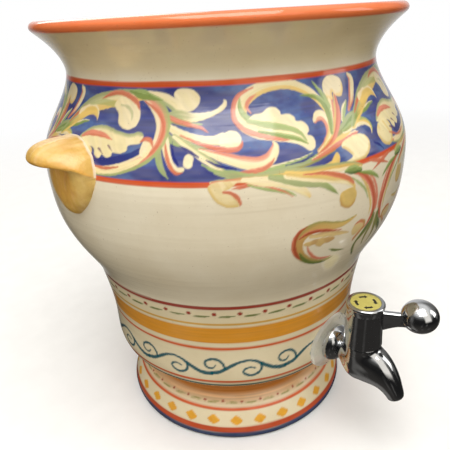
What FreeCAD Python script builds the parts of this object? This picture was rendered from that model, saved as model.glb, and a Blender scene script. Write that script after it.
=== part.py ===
import FreeCAD, Part
import math
import os

# Glazed clay water pot with a quarter-turn lever tap, in millimetres.
# The origin is the centre of the foot ring on the standing plane, +Z is up.
# The tap points along -Y and the two finger lugs stand at -X and +X.
# Every piece is one solid and is written to parts/NODE.step.

Vec = FreeCAD.Vector
X, Y, Z = Vec(1, 0, 0), Vec(0, 1, 0), Vec(0, 0, 1)

# ---- pot body: heights are stacked from the standing plane upwards ----
foot_radius = 99.0           # widest part of the foot ring
foot_edge_round = 3.2
foot_ring_width = 12.0       # bare clay ring that the pot stands on
foot_height = 35.2           # standing plane to the narrowest level of the cove
cove_radius = 83.6
cove_rise = 24.4             # narrowest level to the lower edge of the drum
drum_base_radius = 102.2
drum_height = 78.0           # lower edge of the drum to the seam under the belly
drum_top_radius = 112.2
belly_rise = 74.9            # seam to the widest level of the belly
belly_radius = 136.7
shoulder_rise = 71.5         # widest level of the belly to the neck
neck_radius = 111.3
flare_rise = 26.5            # neck to the lower edge of the lip
flare_radius = 128.2
lip_rise = 1.9               # lower edge of the lip to the start of its round top
lip_radius = 129.6
lip_thickness = 8.4
pot_wall = 8.5
floor_thickness = 8.5
floor_corner = 17.0          # how far the flat floor stays inside the cove
floor_start_slope = 0.05     # how steeply the inside leaves the floor's edge

# ---- finger lugs, one each side of the belly ----
lug_drop = 6.0               # widest level of the belly down to the lug's lower tip
lug_height = 49.4
lug_half_width = 23.4
lug_angle = 88.5             # middle of the lug, degrees round from the tap
lug_reach = 22.6             # how far the ledge stands out past the belly
lug_root = 4.0               # how far the lug is let into the wall
lug_ledge_share = 0.575      # height of the ledge's underside at the wall
lug_ledge_slope = 15.0       # how steeply that underside rises outwards, degrees
lug_scoop_width = 38.0       # hollow under the ledge for the fingertips
lug_scoop_height = 46.0
lug_scoop_depth = 24.0
lug_skin = 2.5               # clay left between the hollow and the wall
lug_cheek_reach = 0.50       # fullness of each level's outline: share of the reach
lug_cheek_width = 0.80       # and share of the half width

# ---- tap: hole, clamping stack and shank, all on one horizontal axis ----
tap_rise = 17.2              # lower edge of the drum to the axis of the shank
shank_radius = 8.0
shank_clearance = 0.9        # shank to the hole in the pot wall
outer_gasket_radius = 23.0
outer_gasket_thickness = 3.0
inner_gasket_radius = 13.5
inner_gasket_thickness = 2.0  # where it is thinnest, at its lower edge
rosette_radius = 14.4
rosette_depth = 8.6
rosette_skirt = 1.4          # rim that reaches back round the curve of the gasket
clamp_washer_radius = 12.5
clamp_washer_thickness = 1.6
lock_nut_flats = 22.0
lock_nut_height = 8.0
lock_nut_chamfer = 1.0       # height of the chamfer on the nut's corners
shank_past_nut = 5.0
waterway_radius = 3.6        # shank, plug port and spout
port_past_bore = 1.2         # straight port in front of the plug, into the spout
slip_gap = 0.05              # between pieces that are screwed or pushed together
seat_gap = 0.1               # between clamped faces

# ---- tap: valve barrel, plug and spout ----
valve_offset = 27.0          # drum face to the vertical axis of the valve
barrel_radius = 13.2
barrel_top_rise = 13.8       # shank axis up to the shoulder under the lever cap
barrel_drop = 6.6            # shank axis down to the centre of the round bottom
neck_outer_radius = 9.2      # threaded neck above the shoulder
neck_rise = 6.0
valve_bore_radius = 7.6
valve_bore_drop = 10.0       # shank axis down to the floor of the bore
running_gap = 0.04           # plug in bore, spindle in bonnet
spindle_radius = 4.4
spindle_rise = 32.6          # shank axis up to the top of the spindle
spindle_flat = 1.1           # depth of the two driving flats
spindle_flat_spare = 0.5     # flats longer than the hub that they drive
bonnet_radius = 10.7
bonnet_web = 2.2
bonnet_edge_round = 0.8
thrust_washer_thickness = 0.8
ring_seal_section = 1.96
ring_seal_spread = 6.6       # from the port's centre up and down to each ring seal
spout_reach = 29.8           # valve axis to the centre of the spout's mouth
spout_drop = 22.8            # shank axis down to the spout's mouth
spout_mouth_radius = 5.8

# ---- lever: cap, arm, ball and index button ----
lever_turn = 28.5            # lever at rest, degrees from straight ahead towards +X
cap_gap = 0.35               # cap over the shoulder of the barrel
cap_base_radius = 13.9
cap_top_radius = 12.9
cap_height = 27.2
cap_wall = 1.6
cap_socket_depth = 8.5       # hub around the spindle's flats
lever_length = 36.6          # valve axis to the centre of the ball
lever_ball_radius = 11.7
ball_drop = 1.0              # centre of the ball below the top of the cap
lever_peg_radius = 3.0
peg_drop = 6.0               # peg that carries the ball, below the ball's centre
peg_length = 10.9            # how far the peg reaches into the ball
lever_arm_thickness = 5.0
lever_arm_depth = 13.5
lever_arm_set_in = 0.2       # top of the arm below the top of the cap
lever_arm_edge_round = 1.75
button_radius = 13.4
button_height = 6.4
button_edge_round = 0.8
button_wall = 1.6
button_spigot_radius = 9.0
button_spigot_length = 4.0
index_well_depth = 1.4       # top of the button down to the seat of the disc
index_disc_radius = 10.8
index_disc_thickness = 0.9
screw_radius = 1.75
screw_head_radius = 3.3
screw_head_height = 2.3
screw_head_round = 0.9
screw_slot_width = 0.9
screw_slot_depth = 1.1
screw_length = 13.0
screw_tip_gap = 0.5          # tip of the screw to the end of its hole
lock_washer_radius = 3.9
lock_washer_thickness = 0.8

# ---- levels and places that follow from the sizes ----
drum_level = foot_height + cove_rise
seam_level = drum_level + drum_height
belly_level = seam_level + belly_rise
neck_level = belly_level + shoulder_rise
flare_level = neck_level + flare_rise
lip_level = flare_level + lip_rise
floor_level = foot_height + floor_thickness
tap_level = drum_level + tap_rise
shoulder_level = tap_level + barrel_top_rise


# ---------------------------------------------------------------- helpers
def stations(start, end, shares):
    """Points between two (radius, height) ends, as shares of each step."""
    return [
        (start[0] + (end[0] - start[0]) * r, start[1] + (end[1] - start[1]) * h)
        for r, h in shares
    ]


def smooth(points, start_tangent=None, end_tangent=None):
    """A spline edge in the XZ plane through (radius, height) points."""
    curve = Part.BSplineCurve()
    knots = [Vec(r, 0, h) for r, h in points]
    if start_tangent and end_tangent:
        tangents = {"InitialTangent": Vec(start_tangent[0], 0, start_tangent[1])}
        tangents["FinalTangent"] = Vec(end_tangent[0], 0, end_tangent[1])
        curve.interpolate(Points=knots, **tangents)
    else:
        curve.interpolate(knots)
    return curve.toShape()


def straight(start, end):
    return Part.makeLine(Vec(start[0], 0, start[1]), Vec(end[0], 0, end[1]))


def arc(start, middle, end):
    points = [Vec(r, 0, h) for r, h in (start, middle, end)]
    return Part.Arc(*points).toShape()


def shifted(points, distance):
    """Points moved by a distance to the left of their direction of travel."""
    moved = []
    for i, (r, h) in enumerate(points):
        before, after = points[max(i - 1, 0)], points[min(i + 1, len(points) - 1)]
        along = Vec(after[0] - before[0], 0, after[1] - before[1]).normalize()
        moved.append((r - along.z * distance, h + along.x * distance))
    return moved


def grown(points, amount):
    return [(r + amount, h) for r, h in points]


def spun(edges):
    """A closed outline in the XZ plane, turned about Z."""
    return Part.Face(Part.Wire(edges)).revolve(Vec(0, 0, 0), Z, 360)


def placed(shape, point, axis):
    """Moves a piece made about +Z so that it stands on an axis line."""
    copy = shape.copy()
    copy.Placement = FreeCAD.Placement(point, FreeCAD.Rotation(Z, axis)).multiply(copy.Placement)
    return copy


def rod(radius, start, axis, length):
    return Part.makeCylinder(radius, length, start, axis)


def softened(solid, radius, wanted):
    """Rounds the edges that a test picks out."""
    return solid.makeFillet(radius, [edge for edge in solid.Edges if wanted(edge)])


def circle_at(edge, radius, axis_point, axis):
    """True for a full circle of a radius that is centred on an axis line."""
    if not isinstance(edge.Curve, Part.Circle) or abs(edge.Curve.Radius - radius) > 0.01:
        return False
    return (edge.Curve.Center - axis_point).cross(axis).Length < 0.01


# ---------------------------------------------------------------- pot body
waist = (cove_radius, foot_height)
drum_base = (drum_base_radius, drum_level)
drum_top = (drum_top_radius, seam_level)
belly = (belly_radius, belly_level)
neck = (neck_radius, neck_level)
lip_foot = (flare_radius, flare_level)
lip_side = (lip_radius, lip_level)
rim_inner = (lip_radius - lip_thickness, lip_level)
floor_edge = (cove_radius - floor_corner, floor_level)

FOOT_SHARES = [(0.11, 0.22), (0.50, 0.64), (0.85, 0.87)]
COVE_SHARES = [(0.22, 0.42), (0.62, 0.78)]
DRUM_SHARES = [(0.28, 0.095), (0.35, 0.25), (0.40, 0.49), (0.78, 0.85)]
BELLY_SHARES = [(0.16, 0.135), (0.518, 0.354), (0.91, 0.694)]
RECESS_SHARES = [(0.16, 0.42), (0.48, 0.84)]
SHOULDER_SHARES = [(0.055, 0.29), (0.205, 0.44), (0.575, 0.667), (0.93, 0.90)]
FLARE_SHARES = [(0.148, 0.37), (0.61, 0.77)]

drum_points = [drum_base, *stations(drum_base, drum_top, DRUM_SHARES), drum_top]
upper_points = [
    drum_top,
    *stations(drum_top, belly, BELLY_SHARES),
    belly,
    *stations(belly, neck, SHOULDER_SHARES),
    neck,
    *stations(neck, lip_foot, FLARE_SHARES),
    lip_foot,
]


def outer_edges(grow=0.0):
    """The outside of the pot from the foot to the lip, grown sideways."""
    edge_top = (foot_radius, foot_edge_round)
    edge_low = (foot_radius - foot_edge_round, 0.0)
    half = foot_edge_round * math.sqrt(0.5)
    edge_mid = (foot_radius - foot_edge_round + half, foot_edge_round - half)
    foot_points = [edge_top, *stations(edge_top, waist, FOOT_SHARES), waist]
    foot_points += [*stations(waist, drum_base, COVE_SHARES), drum_base]
    return [
        arc(*grown([edge_low, edge_mid, edge_top], grow)),
        smooth(grown(foot_points, grow)),
        smooth(grown(drum_points, grow)),
        smooth(grown(upper_points, grow)),
    ]


def inner_edges(shrink=0.0):
    """The inside of the wall: from the lip down to the seam, then down to the floor."""
    cove = stations(waist, drum_base, COVE_SHARES)
    inside = shifted([*cove, *drum_points[1:], *upper_points[1:]], pot_wall)
    seam = len(cove) + len(drum_points) - 2
    lower = grown([floor_edge, *inside[1:seam + 1]], -shrink)
    upper = grown([*inside[seam:-1], rim_inner], -shrink)
    rise = (lower[-1][0] - lower[-2][0], lower[-1][1] - lower[-2][1])
    steep = math.hypot(*rise)
    end_tangent = (rise[0] / steep, rise[1] / steep)
    return [smooth(upper), smooth(lower, (1, floor_start_slope), end_tangent)]


def pot_solid():
    crown = (lip_radius - lip_thickness / 2, lip_level + lip_thickness / 2)
    lip_bulge = ((flare_radius + 2 * lip_radius) / 3, (flare_level + lip_level) / 2)
    ring_inner = (foot_radius - foot_edge_round - foot_ring_width, 0.0)
    recess_level = floor_level - floor_thickness
    recess_corner = cove_radius - floor_corner - pot_wall
    recess_side = stations(ring_inner, (recess_corner, recess_level), RECESS_SHARES)
    edges = outer_edges()
    edges += [
        arc(lip_foot, lip_bulge, lip_side),
        arc(lip_side, crown, rim_inner),
        *inner_edges(),
        straight(floor_edge, (0.0, floor_level)),
        straight((0.0, floor_level), (0.0, recess_level)),
        straight((0.0, recess_level), (recess_corner, recess_level)),
        smooth([(recess_corner, recess_level), *reversed(recess_side), ring_inner]),
        straight(ring_inner, (foot_radius - foot_edge_round, 0.0)),
    ]
    return spun(edges)


def filled_pot(grow):
    """The pot's outside as a full solid, grown sideways."""
    edges = outer_edges(grow)
    top = (flare_radius + grow, flare_level)
    low = (foot_radius - foot_edge_round + grow, 0.0)
    edges += [straight(top, (0.0, top[1])), straight((0.0, top[1]), (0.0, 0.0)), straight((0.0, 0.0), low)]
    return spun(edges)


def filled_hollow(shrink):
    """The space inside the pot as a full solid, shrunk sideways."""
    low, top = grown([floor_edge, rim_inner], -shrink)
    edges = [*inner_edges(shrink), straight(low, (0.0, low[1]))]
    edges += [straight((0.0, low[1]), (0.0, top[1])), straight((0.0, top[1]), top)]
    return spun(edges)


def radius_at(edge, level):
    """Radius of a profile edge at a height."""
    line = Part.makeLine(Vec(0, 0, level), Vec(2 * belly_radius, 0, level))
    return edge.distToShape(line)[1][0][0].x


drum_edge = smooth(drum_points)
face_radius = radius_at(drum_edge, tap_level)
hollow_edge = inner_edges()[1]
shank_axis = Vec(0, 0, tap_level)
outward = Vec(0, -1, 0)


def pot_body():
    hole = rod(shank_radius + shank_clearance, shank_axis, outward, 2 * face_radius)
    return pot_solid().cut(hole)


# ---------------------------------------------------------------- lugs
# (height share, half-width share, reach share) of each level of the lug
LUG_LEVELS = [
    (0.00, 0.18, 0.04), (0.07, 0.36, 0.19), (0.16, 0.56, 0.32), (0.267, 0.76, 0.43),
    (0.38, 0.91, 0.53), (0.474, 0.98, 0.61), (0.57, 1.00, 0.74), (0.709, 0.91, 0.95),
    (0.865, 0.53, 1.00), (0.946, 0.20, 0.83), (1.00, 0.07, 0.50),
]


def lug_section(level, half_width, reach, root):
    """A level outline: straight across inside the wall, rounded outside."""
    cheek = root + (reach - root) * lug_cheek_reach
    cheek_width = half_width * lug_cheek_width
    front = [
        Vec(root, -half_width, level), Vec(cheek, -cheek_width, level),
        Vec(reach, 0, level),
        Vec(cheek, cheek_width, level), Vec(root, half_width, level),
    ]
    curve = Part.BSplineCurve()
    curve.interpolate(front)
    return Part.Wire([curve.toShape(), Part.makeLine(front[-1], front[0])])


def lug_scoop(low):
    """The hollow for the fingertips: a tall egg shape, cut off flat by the ledge."""
    shape = FreeCAD.Matrix()
    shape.scale(lug_scoop_depth / 2, lug_scoop_width / 2, lug_scoop_height / 2)
    scoop = Part.makeSphere(1.0).transformGeometry(shape)
    level = low + lug_height * lug_ledge_share
    wall = radius_at(smooth(upper_points), level)
    scoop.translate(Vec(wall + lug_skin + lug_scoop_depth / 2, 0, level))
    below = Part.makeBox(lug_scoop_depth * 3, lug_scoop_width * 2, lug_scoop_height)
    below.translate(Vec(wall - lug_scoop_depth, -lug_scoop_width, level - lug_scoop_height))
    below.rotate(Vec(wall, 0, level), Y, -lug_ledge_slope)
    return scoop.common(below)


def lug_right():
    low = belly_level - lug_drop
    belly_edge = smooth(upper_points)
    sections = []
    for height, width, reach in LUG_LEVELS:
        level = low + lug_height * height
        wall = radius_at(belly_edge, level)
        half_width = lug_half_width * width
        root = math.sqrt(wall ** 2 - half_width ** 2) - lug_root
        sections.append(lug_section(level, half_width, belly_radius + lug_reach * reach, root))
    lug = Part.makeLoft(sections, True).cut(lug_scoop(low))
    lug.rotate(Vec(0, 0, 0), Z, lug_angle - 90)
    return lug.cut(filled_pot(0.0))


def lug_left():
    return lug_right().mirror(Vec(0, 0, 0), X)


# ---------------------------------------------------------------- clamping stack
valve_radius = face_radius + valve_offset
valve_axis = Vec(0, -valve_radius, 0)
rosette_seat = face_radius + outer_gasket_thickness + 2 * seat_gap
clamp_seat = radius_at(hollow_edge, tap_level - inner_gasket_radius) - inner_gasket_thickness
clamp_face = clamp_seat - seat_gap - clamp_washer_thickness
nut_seat = clamp_face - seat_gap
shank_end = nut_seat - lock_nut_height - shank_past_nut


def outer_gasket():
    """A soft disc that follows the drum round the tap hole and hangs past its edge."""
    levels = [tap_level + outer_gasket_radius * share / 4 for share in range(-5, 6)]
    wall = [(radius_at(drum_edge, max(level, drum_level)), level) for level in levels]
    back = grown(wall, seat_gap / 2)
    front = grown(wall, seat_gap + outer_gasket_thickness)
    edges = [smooth(back), straight(back[-1], front[-1])]
    edges += [smooth(front), straight(front[0], back[0])]
    disc = rod(outer_gasket_radius, shank_axis, outward, 2 * face_radius)
    hole = rod(shank_radius + slip_gap, shank_axis, outward, 2 * face_radius)
    return disc.cut(hole).common(spun(edges)).cut(filled_pot(seat_gap))


def inner_gasket():
    """A saddle: flat towards the nut, hollow-fitting towards the curved wall."""
    start = Vec(0, -clamp_seat, tap_level)
    disc = rod(inner_gasket_radius, start, outward, face_radius - clamp_seat)
    hole = rod(shank_radius + slip_gap, start, outward, face_radius - clamp_seat)
    return disc.cut(hole).common(filled_hollow(seat_gap))


# (radius share, depth share) of the rosette's dome, from its rim inwards
ROSETTE_STATIONS = [(1.00, 0.23), (0.95, 0.42), (0.84, 0.68), (0.69, 0.88), (0.57, 1.00)]


def rosette():
    """Domed cover plate whose rim is cut to the curve of the gasket."""
    bore = shank_radius + slip_gap
    dome = [(rosette_radius * r, rosette_depth * h) for r, h in ROSETTE_STATIONS]
    rim_back, bore_back = (rosette_radius, -rosette_skirt), (bore, -rosette_skirt)
    edges = [straight(bore_back, rim_back), straight(rim_back, dome[0]), smooth(dome)]
    edges += [straight(dome[-1], (bore, rosette_depth)), straight((bore, rosette_depth), bore_back)]
    plate = placed(spun(edges), Vec(0, -rosette_seat, tap_level), outward)
    return plate.cut(filled_pot(outer_gasket_thickness + 2 * seat_gap))


def clamp_washer():
    start = Vec(0, -clamp_face, tap_level)
    disc = rod(clamp_washer_radius, start, outward, clamp_washer_thickness)
    return disc.cut(rod(shank_radius + slip_gap, start, outward, clamp_washer_thickness))


def lock_nut():
    """Six-sided nut with chamfered corners."""
    corner = lock_nut_flats / math.sqrt(3)
    points = [Vec(corner * math.cos(a), corner * math.sin(a), 0) for a in
              [math.radians(60 * i) for i in range(7)]]
    prism = Part.Face(Part.makePolygon(points)).extrude(Vec(0, 0, lock_nut_height))
    straight_height = lock_nut_height - lock_nut_chamfer
    cone = Part.makeCone(corner, lock_nut_flats / 2, lock_nut_chamfer, Vec(0, 0, straight_height))
    blank = Part.makeCylinder(corner, straight_height).fuse(cone)
    nut = prism.common(blank).cut(Part.makeCylinder(shank_radius + slip_gap, lock_nut_height))
    return placed(nut, Vec(0, -nut_seat, tap_level), -outward)


# ---------------------------------------------------------------- tap body
# (reach share, drop share, radius share of the barrel) down the spout
SPOUT_STATIONS = [
    (0.00, 0.24, 1.00), (0.32, 0.28, 0.955), (0.59, 0.36, 0.83), (0.785, 0.545, 0.68),
    (0.925, 0.78, 0.545),
]
# (share of the way back to the rosette, drop share, radius share) along the neck
NECK_STATIONS = [(1.00, 0.00, 0.71), (0.55, 0.06, 0.89)]
# (reach share, drop share) of the waterway's centre line
WATERWAY_STATIONS = [(0.15, 0.00), (0.32, 0.07), (0.59, 0.27), (0.785, 0.52), (0.925, 0.77), (1.01, 1.08)]


def tube_loft(path, radii):
    """A smooth tube through round sections square to a line of (reach, drop) points."""
    wires = []
    for i, (reach, drop) in enumerate(path):
        before, after = path[max(i - 1, 0)], path[min(i + 1, len(path) - 1)]
        along = Vec(0, -(after[0] - before[0]), -(after[1] - before[1])).normalize()
        centre = Vec(0, -valve_radius - reach, tap_level - drop)
        wires.append(Part.Wire([Part.Circle(centre, along, radii[i]).toShape()]))
    return Part.makeLoft(wires, True)


def duck_bill():
    """Neck, belly and spout of the tap in one flowing form."""
    back = valve_radius - rosette_seat - rosette_depth
    path = [(-share * back, drop * spout_drop) for share, drop, _ in NECK_STATIONS]
    path += [(reach * spout_reach, drop * spout_drop) for reach, drop, _ in SPOUT_STATIONS]
    radii = [share * barrel_radius for _, _, share in NECK_STATIONS + SPOUT_STATIONS]
    return tube_loft(path + [(spout_reach, spout_drop)], radii + [spout_mouth_radius])


def waterway():
    path = [(reach * spout_reach, drop * spout_drop) for reach, drop in WATERWAY_STATIONS]
    return tube_loft(path, [waterway_radius] * len(path))


def barrel():
    """Valve housing: round bottom, straight side, shoulder and threaded neck."""
    low = tap_level - barrel_drop
    neck_top = shoulder_level + neck_rise
    half = barrel_radius * math.sqrt(0.5)
    edges = [
        arc((0.0, low - barrel_radius), (half, low - half), (barrel_radius, low)),
        straight((barrel_radius, low), (barrel_radius, shoulder_level)),
        straight((barrel_radius, shoulder_level), (neck_outer_radius, shoulder_level)),
        straight((neck_outer_radius, shoulder_level), (neck_outer_radius, neck_top)),
        straight((neck_outer_radius, neck_top), (0.0, neck_top)),
        straight((0.0, neck_top), (0.0, low - barrel_radius)),
    ]
    return placed(spun(edges), valve_axis, Z)


def tap_body():
    rosette_front = rosette_seat + rosette_depth + slip_gap
    shank = rod(shank_radius, Vec(0, -shank_end, tap_level), outward, valve_radius - shank_end)
    square_off = rod(barrel_radius, shank_axis, outward, rosette_front)
    body = barrel().fuse([duck_bill().cut(square_off), shank])
    way_in = rod(waterway_radius, Vec(0, -shank_end, tap_level), outward, valve_radius - shank_end)
    way_out = rod(waterway_radius, valve_axis + shank_axis, outward, valve_bore_radius + port_past_bore)
    bore_length = valve_bore_drop + barrel_top_rise + neck_rise
    bore = rod(valve_bore_radius, valve_axis + Vec(0, 0, tap_level - valve_bore_drop), Z, bore_length)
    return body.cut([way_in, way_out, waterway(), bore])


# ---------------------------------------------------------------- valve plug
plug_top = shoulder_level + neck_rise - thrust_washer_thickness - seat_gap
plug_radius = valve_bore_radius - running_gap
groove_depth = ring_seal_section - running_gap / 2


def turned_rest(shape):
    """Turns a piece of the lever from straight ahead to its rest position."""
    return shape.rotate(valve_axis, Z, lever_turn)


def valve_plug():
    """Plug with a cross port, two ring grooves and a flatted spindle."""
    base = tap_level - valve_bore_drop + seat_gap
    plug = rod(plug_radius, valve_axis + Vec(0, 0, base), Z, plug_top - base)
    top = tap_level + spindle_rise
    plug = plug.fuse(rod(spindle_radius, valve_axis + Vec(0, 0, plug_top), Z, top - plug_top))
    for side in (-1, 1):
        level = tap_level + side * ring_seal_spread - ring_seal_section / 2
        groove = rod(plug_radius + groove_depth, valve_axis + Vec(0, 0, level), Z, ring_seal_section)
        core = rod(plug_radius - groove_depth, valve_axis + Vec(0, 0, level), Z, ring_seal_section)
        plug = plug.cut(groove.cut(core))
    for side in (-1, 1):
        flat_length = cap_socket_depth + spindle_flat_spare
        flat = Part.makeBox(2 * spindle_radius, 2 * spindle_radius, flat_length)
        offset = spindle_radius - spindle_flat
        corner_y = offset if side > 0 else -offset - 2 * spindle_radius
        flat.translate(valve_axis + Vec(-spindle_radius, corner_y, top - flat_length))
        plug = plug.cut(flat)
    port = rod(waterway_radius, valve_axis + Vec(-2 * plug_radius, 0, tap_level), X, 4 * plug_radius)
    screw_hole = rod(screw_radius + slip_gap, valve_axis + Vec(0, 0, top - screw_length), Z, screw_length)
    return turned_rest(plug.cut([port, screw_hole]))


def ring_seal(side):
    section = ring_seal_section / 2
    spread = valve_bore_radius - running_gap / 2 - section
    ring = Part.makeTorus(spread, section - running_gap / 4)
    return placed(ring, valve_axis + Vec(0, 0, tap_level + side * ring_seal_spread), Z)


def thrust_washer():
    level = plug_top + seat_gap / 2
    start = valve_axis + Vec(0, 0, level)
    disc = rod(plug_radius, start, Z, thrust_washer_thickness)
    return disc.cut(rod(spindle_radius + 2 * running_gap, start, Z, thrust_washer_thickness))


def bonnet_nut():
    """Screwed cover over the neck that keeps the plug down."""
    low = shoulder_level + seat_gap
    inside = shoulder_level + neck_rise + seat_gap
    top = inside + bonnet_web
    blank = rod(bonnet_radius, valve_axis + Vec(0, 0, low), Z, top - low)
    blank = softened(blank, bonnet_edge_round, lambda e: circle_at(e, bonnet_radius, valve_axis, Z)
                     and e.BoundBox.ZMin > inside)
    hollow = rod(neck_outer_radius + slip_gap, valve_axis + Vec(0, 0, low), Z, inside - low)
    hole = rod(spindle_radius + 2 * running_gap, valve_axis + Vec(0, 0, low), Z, top - low)
    return blank.cut([hollow, hole])


# ---------------------------------------------------------------- lever
cap_level = shoulder_level + cap_gap
cap_top = cap_level + cap_height
ball_level = cap_top - ball_drop
peg_level = ball_level - peg_drop
well_radius = button_spigot_radius + slip_gap
well_floor = tap_level + spindle_rise + seat_gap
# (share of the taper, height share) of the cap's side
CAP_SHARES = [(0.45, 0.35), (0.85, 0.80)]
# (share of the lever's length, share of the arm's depth) of its underside
ARM_STATIONS = [(0.228, -0.26), (0.407, -0.07), (0.64, 0.18), (0.90, 0.09)]


def lever_cap():
    """Tapered cap with a web arm, hollow below and with a well on top."""
    foot, head = (cap_base_radius, cap_level), (cap_top_radius, cap_top)
    edges = [smooth([foot, *stations(foot, head, CAP_SHARES), head]), straight(head, (0.0, cap_top))]
    edges += [straight((0.0, cap_top), (0.0, cap_level)), straight((0.0, cap_level), foot)]
    cap = placed(spun(edges), valve_axis, Z)
    cap = cap.fuse(lever_arm())
    hub_level = tap_level + spindle_rise - cap_socket_depth
    cavity = rod(cap_top_radius - cap_wall, valve_axis + Vec(0, 0, cap_level), Z, hub_level - cap_level)
    well = rod(well_radius, valve_axis + Vec(0, 0, well_floor), Z, cap_top - well_floor)
    return turned_rest(cap.cut([cavity, well, spindle_socket(hub_level)]))


def spindle_socket(level):
    """The hole in the hub: round with two flats, like the spindle's end."""
    radius = spindle_radius + slip_gap
    socket = rod(radius, valve_axis + Vec(0, 0, level), Z, well_floor - level)
    half = spindle_radius - spindle_flat + slip_gap
    slot = Part.makeBox(2 * radius, 2 * half, well_floor - level)
    slot.translate(valve_axis + Vec(-radius, -half, level))
    return socket.common(slot)


def lever_arm():
    """Web between cap and ball: flat on top, hollowed below, soft edges."""
    top = cap_top - lever_arm_set_in
    low = top - lever_arm_depth
    path = [(lever_length * x, low + lever_arm_depth * h) for x, h in ARM_STATIONS]
    start, end = path[0][0], path[-1][0]
    edges = [smooth(path), straight(path[-1], (end, top))]
    edges += [straight((end, top), (start, top)), straight((start, top), path[0])]
    web = Part.Face(Part.Wire(edges)).extrude(Vec(0, lever_arm_thickness, 0))
    web.translate(Vec(0, -lever_arm_thickness / 2, 0))
    web = softened(web, lever_arm_edge_round, lambda e: e.BoundBox.YLength < slip_gap
                   and e.BoundBox.XLength > lever_arm_thickness)
    web.rotate(Vec(0, 0, 0), Z, -90)
    web.translate(valve_axis)
    peg_start = valve_axis + Vec(0, -lever_length + lever_ball_radius, peg_level)
    return web.cut(ball_blank(slip_gap)).fuse(rod(lever_peg_radius, peg_start, outward, peg_length))


def ball_blank(grow):
    """The ball's sphere, grown all round."""
    return Part.makeSphere(lever_ball_radius + grow, valve_axis + Vec(0, -lever_length, ball_level))


def lever_ball():
    hole_start = valve_axis + Vec(0, -lever_length + 2 * lever_ball_radius, peg_level)
    hole_length = lever_ball_radius + peg_length + slip_gap
    hole = rod(lever_peg_radius + slip_gap, hole_start, outward, hole_length)
    return turned_rest(ball_blank(0.0).cut(hole))


# (share of the edge round inwards, height share) of the button's bulging side
BUTTON_STATIONS = [(0.25, 0.30), (0.00, 0.65), (0.31, 0.945), (1.00, 1.00)]


def index_button():
    """Snap-in top button with a bright rim around the index disc."""
    side = [(button_radius - button_edge_round * r, button_height * h) for r, h in BUTTON_STATIONS]
    well = index_disc_radius + slip_gap
    well_level = button_height - index_well_depth
    foot = (cap_top_radius, seat_gap)
    outline = [side[3], (well, button_height), (well, well_level), (0.0, well_level)]
    outline += [(0.0, -button_spigot_length), (button_spigot_radius, -button_spigot_length)]
    outline += [(button_spigot_radius, seat_gap), foot]
    edges = [arc(foot, side[0], side[1]), arc(*side[1:])]
    edges += [straight(start, end) for start, end in zip(outline, outline[1:])]
    pocket_radius = button_spigot_radius - button_wall
    pocket = rod(pocket_radius, Vec(0, 0, -button_spigot_length), Z, button_spigot_length)
    return placed(spun(edges).cut(pocket), valve_axis + Vec(0, 0, cap_top), Z)


def index_disc():
    level = cap_top + button_height - index_well_depth + seat_gap / 2
    return rod(index_disc_radius, valve_axis + Vec(0, 0, level), Z, index_disc_thickness)


def lock_washer():
    start = valve_axis + Vec(0, 0, well_floor + seat_gap)
    disc = rod(lock_washer_radius, start, Z, lock_washer_thickness)
    return disc.cut(rod(screw_radius + slip_gap, start, Z, lock_washer_thickness))


def lever_screw():
    seat = well_floor + 2 * seat_gap + lock_washer_thickness
    head = rod(screw_head_radius, valve_axis + Vec(0, 0, seat), Z, screw_head_height)
    head = softened(head, screw_head_round, lambda e: circle_at(e, screw_head_radius, valve_axis, Z)
                    and e.BoundBox.ZMin > seat + screw_head_round)
    end = tap_level + spindle_rise - screw_length + screw_tip_gap
    shank = rod(screw_radius, valve_axis + Vec(0, 0, end), Z, seat - end)
    slot = Part.makeBox(3 * screw_head_radius, screw_slot_width, screw_slot_depth)
    slot_level = seat + screw_head_height - screw_slot_depth
    slot.translate(valve_axis + Vec(-1.5 * screw_head_radius, -screw_slot_width / 2, slot_level))
    return turned_rest(head.fuse(shank).cut(slot))


# ---------------------------------------------------------------- writing
pieces = {
    "pot_body": pot_body(),
    "lug_left": lug_left(),
    "lug_right": lug_right(),
    "outer_gasket": outer_gasket(),
    "inner_gasket": inner_gasket(),
    "rosette": rosette(),
    "clamp_washer": clamp_washer(),
    "lock_nut": lock_nut(),
    "tap_body": tap_body(),
    "bonnet_nut": bonnet_nut(),
    "thrust_washer": thrust_washer(),
    "valve_plug": valve_plug(),
    "ring_seal_upper": ring_seal(1),
    "ring_seal_lower": ring_seal(-1),
    "lever_cap": lever_cap(),
    "lever_ball": lever_ball(),
    "lever_screw": lever_screw(),
    "lock_washer": lock_washer(),
    "index_button": index_button(),
    "index_disc": index_disc(),
}

os.makedirs("parts", exist_ok=True)
for node, shape in pieces.items():
    solids = shape.Solids
    print(f"{node}: {len(solids)} solid(s), valid {shape.isValid()}, volume {shape.Volume:.1f}")
    (solids[0] if len(solids) == 1 else shape).exportStep(f"parts/{node}.step")
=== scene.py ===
"""Looks of a glazed clay water pot with a chrome lever tap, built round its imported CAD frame.

Blender works in metres; sizes below are in millimetres unless they say otherwise.
Azimuth is in degrees round the pot from the tap (-Y) towards +X, level is the height.
"""
import heapq
import math

import bpy
import numpy as np
from mathutils import Matrix, Vector

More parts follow.
